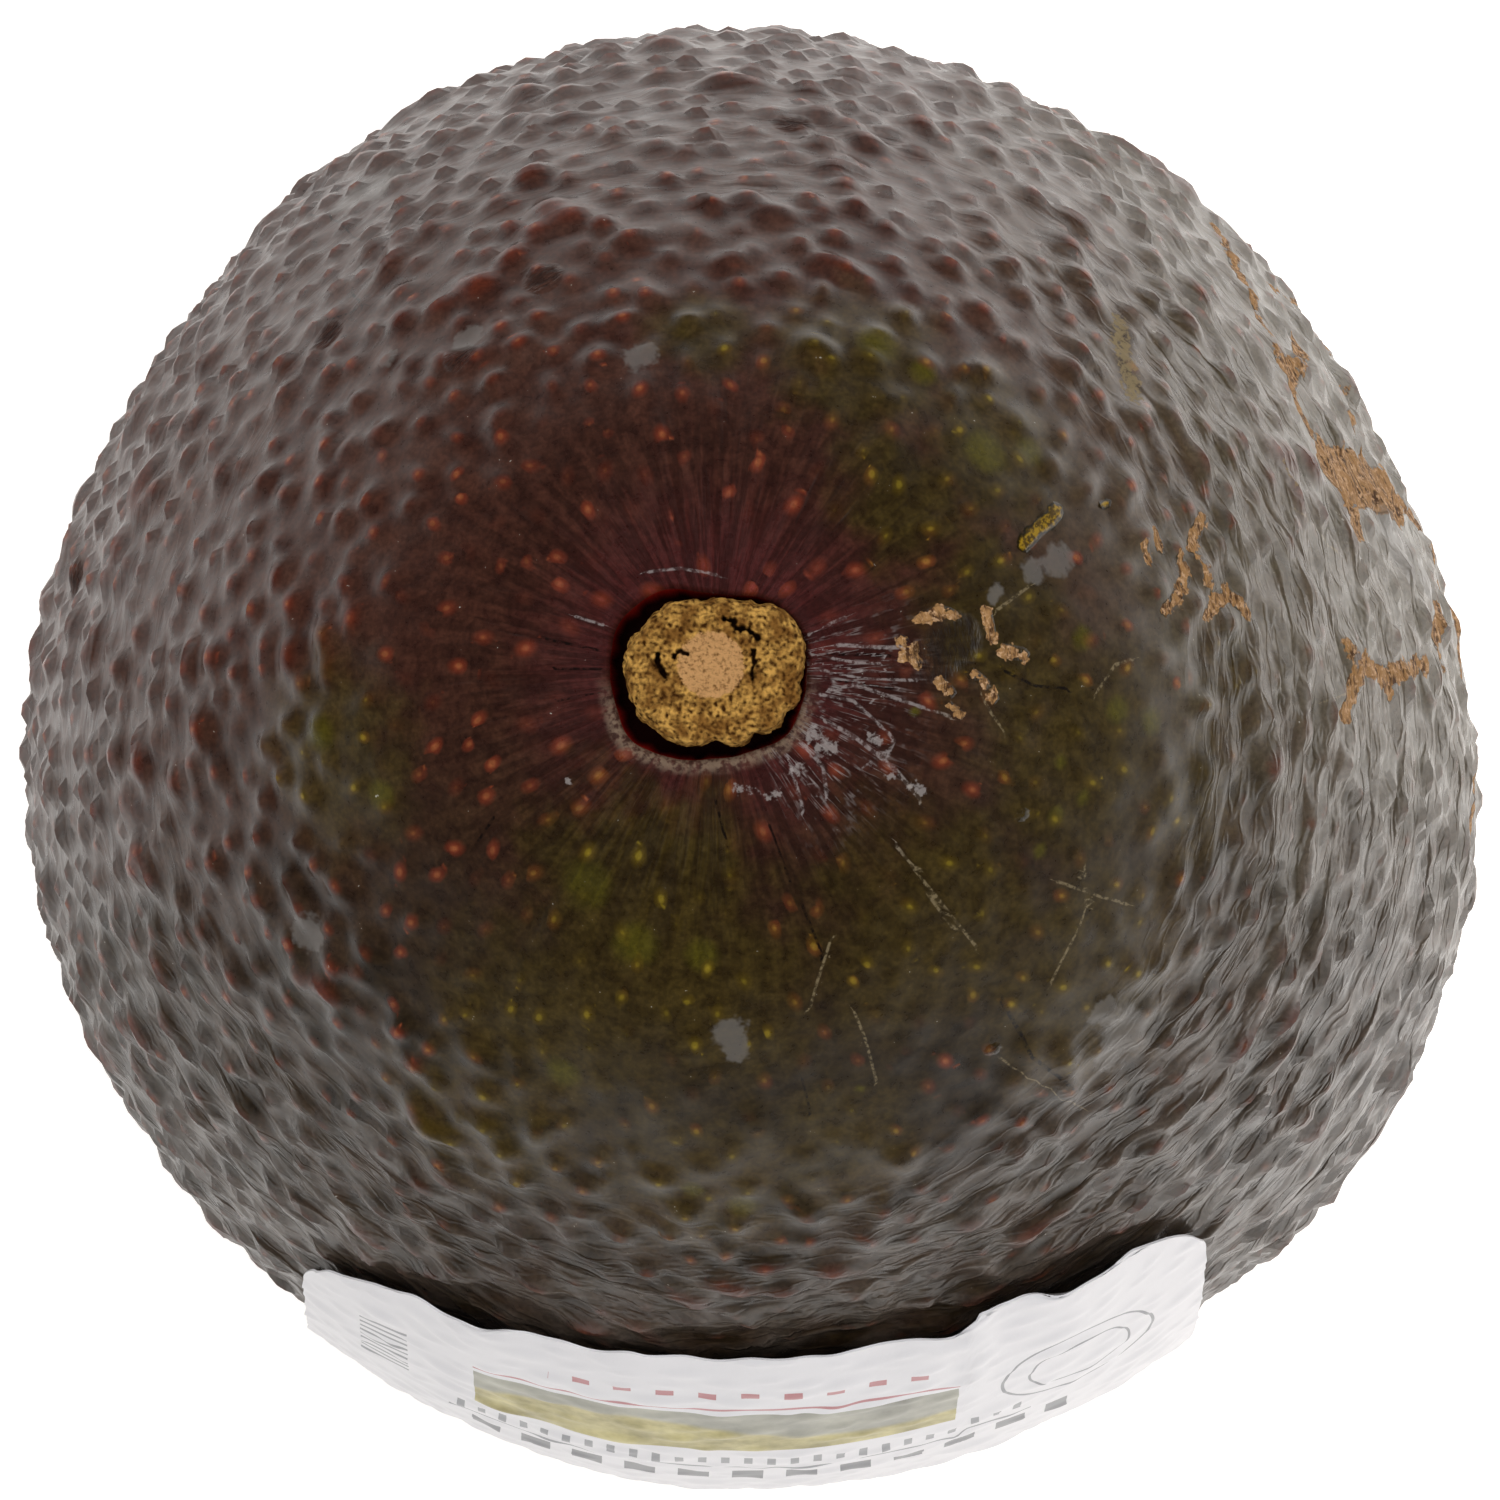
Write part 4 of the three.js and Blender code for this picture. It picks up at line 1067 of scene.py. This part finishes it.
most_droop = np.where(turned_side < 0, LABEL_DROOP_LEFT, LABEL_DROOP_RIGHT)
fallen = straight + most_droop * (1 - straight / LABEL_DROOP_END) * turned_side**2
label_angle = np.interp(fallen, table_length, table_angle)
label_bearing = -np.pi / 2 + turned_side / plain_radius(label_angle)
label_base = smooth_point(label_angle, label_bearing)
label_out = directions(label_angle, label_bearing)[2]
under = np.array([noise.noise(Vector(p) / UNEVEN_SIZE) for p in label_base]) * UNEVEN_HEIGHT
under = pebble_field(label_base)[0] + under
lift = PAPER_LIFT + 0.4 * under + FOLD_RIDGE * np.exp(-(((side - FOLD_AT) / 0.9) ** 2)) * near_top
for at, spread, height_mm in EDGE_LIFTS:
    lift = lift + height_mm * np.exp(-(((side - at) / spread) ** 2)) * near_top**3
paper = label_base + label_out * lift[:, None] + AXIS
label.data.vertices.foreach_set("co", (paper * MM).ravel())
label.data.update()

flat = label.data.uv_layers.new(name="flat")  # mm from the label's middle
loop_vertex = np.empty(len(label.data.loops), int)
label.data.loops.foreach_get("vertex_index", loop_vertex)
flat.data.foreach_set("uv", np.stack([side, up], axis=1)[loop_vertex].ravel())
label.data.uv_layers.active = flat

thicken = label.modifiers.new("paper", "SOLIDIFY")
thicken.thickness = PAPER * MM
thicken.offset = 1.0
bpy.ops.object.modifier_apply(modifier="paper")
bpy.ops.object.shade_smooth_by_angle(angle=math.radians(50))

# Coated label paper: white and satin, printed by offset in flat soft inks that don't change its gloss. The
# print is generic: a landscape strip, rows of beads and bars, and rings, in mm from the label's middle.
label_paper = bpy.data.materials.new("coated_label_paper")
label_paper.use_nodes = True
pt = label_paper.node_tree
paper_shader = pt.nodes["Principled BSDF"]
flat_place = node(pt, "UVMap", uv_map="flat")
print_x, print_y, _ = node(pt, "SeparateXYZ", [flat_place]).node.outputs


def printed_box(across, x, half_x, y, half_y):
    """1 inside upright boxes round x, y. Where the way across folds back on itself, they come in a row."""
    in_x = node(pt, "Math", [across, x, half_x], operation="COMPARE")
    in_y = node(pt, "Math", [print_y, y, half_y], operation="COMPARE")
    return node(pt, "Math", [in_x, in_y], operation="MULTIPLY")


hill = node(pt, "Math", [node(pt, "Math", [print_x, 0.24], operation="MULTIPLY")], operation="SINE")
hill = node(pt, "Math", [hill, 1.3, print_y], operation="MULTIPLY_ADD")
strip_grain = node(pt, "TexNoise", {"Vector": flat_place, "Scale": 0.35, "Detail": 4.0, "Roughness": 0.6})
far_light = node(pt, "MapRange", [strip_grain, 0.3, 0.7])
far_tone = node(pt, "MixRGB", [far_light, linear("#8b8a80"), linear("#b8b7a8")])
near_light = node(pt, "MapRange", [strip_grain, 0.35, 0.65])
near_tone = node(pt, "MixRGB", [near_light, linear("#8f8340"), linear("#d3c889")])
strip_tone = node(pt, "MixRGB", [node(pt, "MapRange", [hill, 8.2, 7.4], **SOFT), far_tone, near_tone])
strip = printed_box(print_x, -1.75, 11.75, 7.6, 3.0)
printed = node(pt, "MixRGB", [strip, linear("#eae9ed"), strip_tone])

bead_x = node(pt, "Math", [print_x, 1.0], operation="PINGPONG")
beads = printed_box(bead_x, 0.0, 0.42, 13.4, 0.33)
beads = node(pt, "Math", [beads, printed_box(print_x, -0.6, 9.0, 13.4, 0.4)], operation="MULTIPLY")
red_rule = printed_box(print_x, -1.75, 11.75, 11.3, 0.13)
red_print = node(pt, "Math", [beads, red_rule], operation="MAXIMUM")
red_share = node(pt, "Math", [red_print, 0.8], operation="MULTIPLY")
printed = node(pt, "MixRGB", [red_share, printed, linear("#b4494f")])

ring_x = node(pt, "Math", [print_x, 16.4], operation="SUBTRACT")
ring_y = node(pt, "Math", [print_y, 7.0], operation="SUBTRACT")
ring_span = node(pt, "VectorMath", [node(pt, "CombineXYZ", [ring_x, ring_y])], operation="LENGTH", out=1)
outer_ring = node(pt, "Math", [ring_span, 4.1, 0.09], operation="COMPARE")
inner_ring = node(pt, "Math", [ring_span, 2.7, 0.07], operation="COMPARE")
rings = node(pt, "Math", [outer_ring, inner_ring], operation="MAXIMUM")
bar_x = node(pt, "Math", [print_x, 0.55], operation="PINGPONG")
bars = printed_box(bar_x, 0.0, 0.2, 2.3, 0.7)
bars = node(pt, "Math", [bars, printed_box(print_x, -0.5, 14.5, 2.3, 0.8)], operation="MULTIPLY")
low_x = node(pt, "Math", [print_x, 1.3], operation="PINGPONG")
low_bars = printed_box(low_x, 0.0, 0.75, -1.6, 1.1)
low_bars = node(pt, "Math", [low_bars, printed_box(print_x, 1.0, 15.0, -1.6, 1.2)], operation="MULTIPLY")
side_y = node(pt, "Math", [print_y, 0.45], operation="PINGPONG")
side_bars = node(pt, "Math", [side_y, 0.0, 0.16], operation="COMPARE")
side_bars = node(pt, "Math", [side_bars, printed_box(print_x, -18.6, 1.4, 8.0, 4.0)], operation="MULTIPLY")
grey_print = node(pt, "Math", [rings, bars], operation="MAXIMUM")
grey_print = node(pt, "Math", [grey_print, side_bars], operation="MAXIMUM")
grey_rule = printed_box(print_x, -0.5, 14.5, 0.6, 0.11)
grey_print = node(pt, "Math", [grey_print, grey_rule], operation="MAXIMUM")
grey_ink = node(pt, "Math", [grey_print, 0.75], operation="MULTIPLY")
printed = node(pt, "MixRGB", [grey_ink, printed, linear("#6a6d74")])
dark_ink = node(pt, "Math", [low_bars, 0.8], operation="MULTIPLY")
printed = node(pt, "MixRGB", [dark_ink, printed, linear("#4a4d55")])
pt.links.new(printed, paper_shader.inputs["Base Color"])
paper_shader.inputs["Roughness"].default_value = 0.42
fibres = node(pt, "TexNoise", {"Vector": flat_place, "Scale": 3.0, "Detail": 3.0})
fibre_bump = node(pt, "Bump", {"Strength": 0.4, "Distance": 0.02 * MM, "Height": fibres})
pt.links.new(fibre_bump, paper_shader.inputs["Normal"])
label.data.materials.append(label_paper)
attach(label, "root")
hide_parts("label")
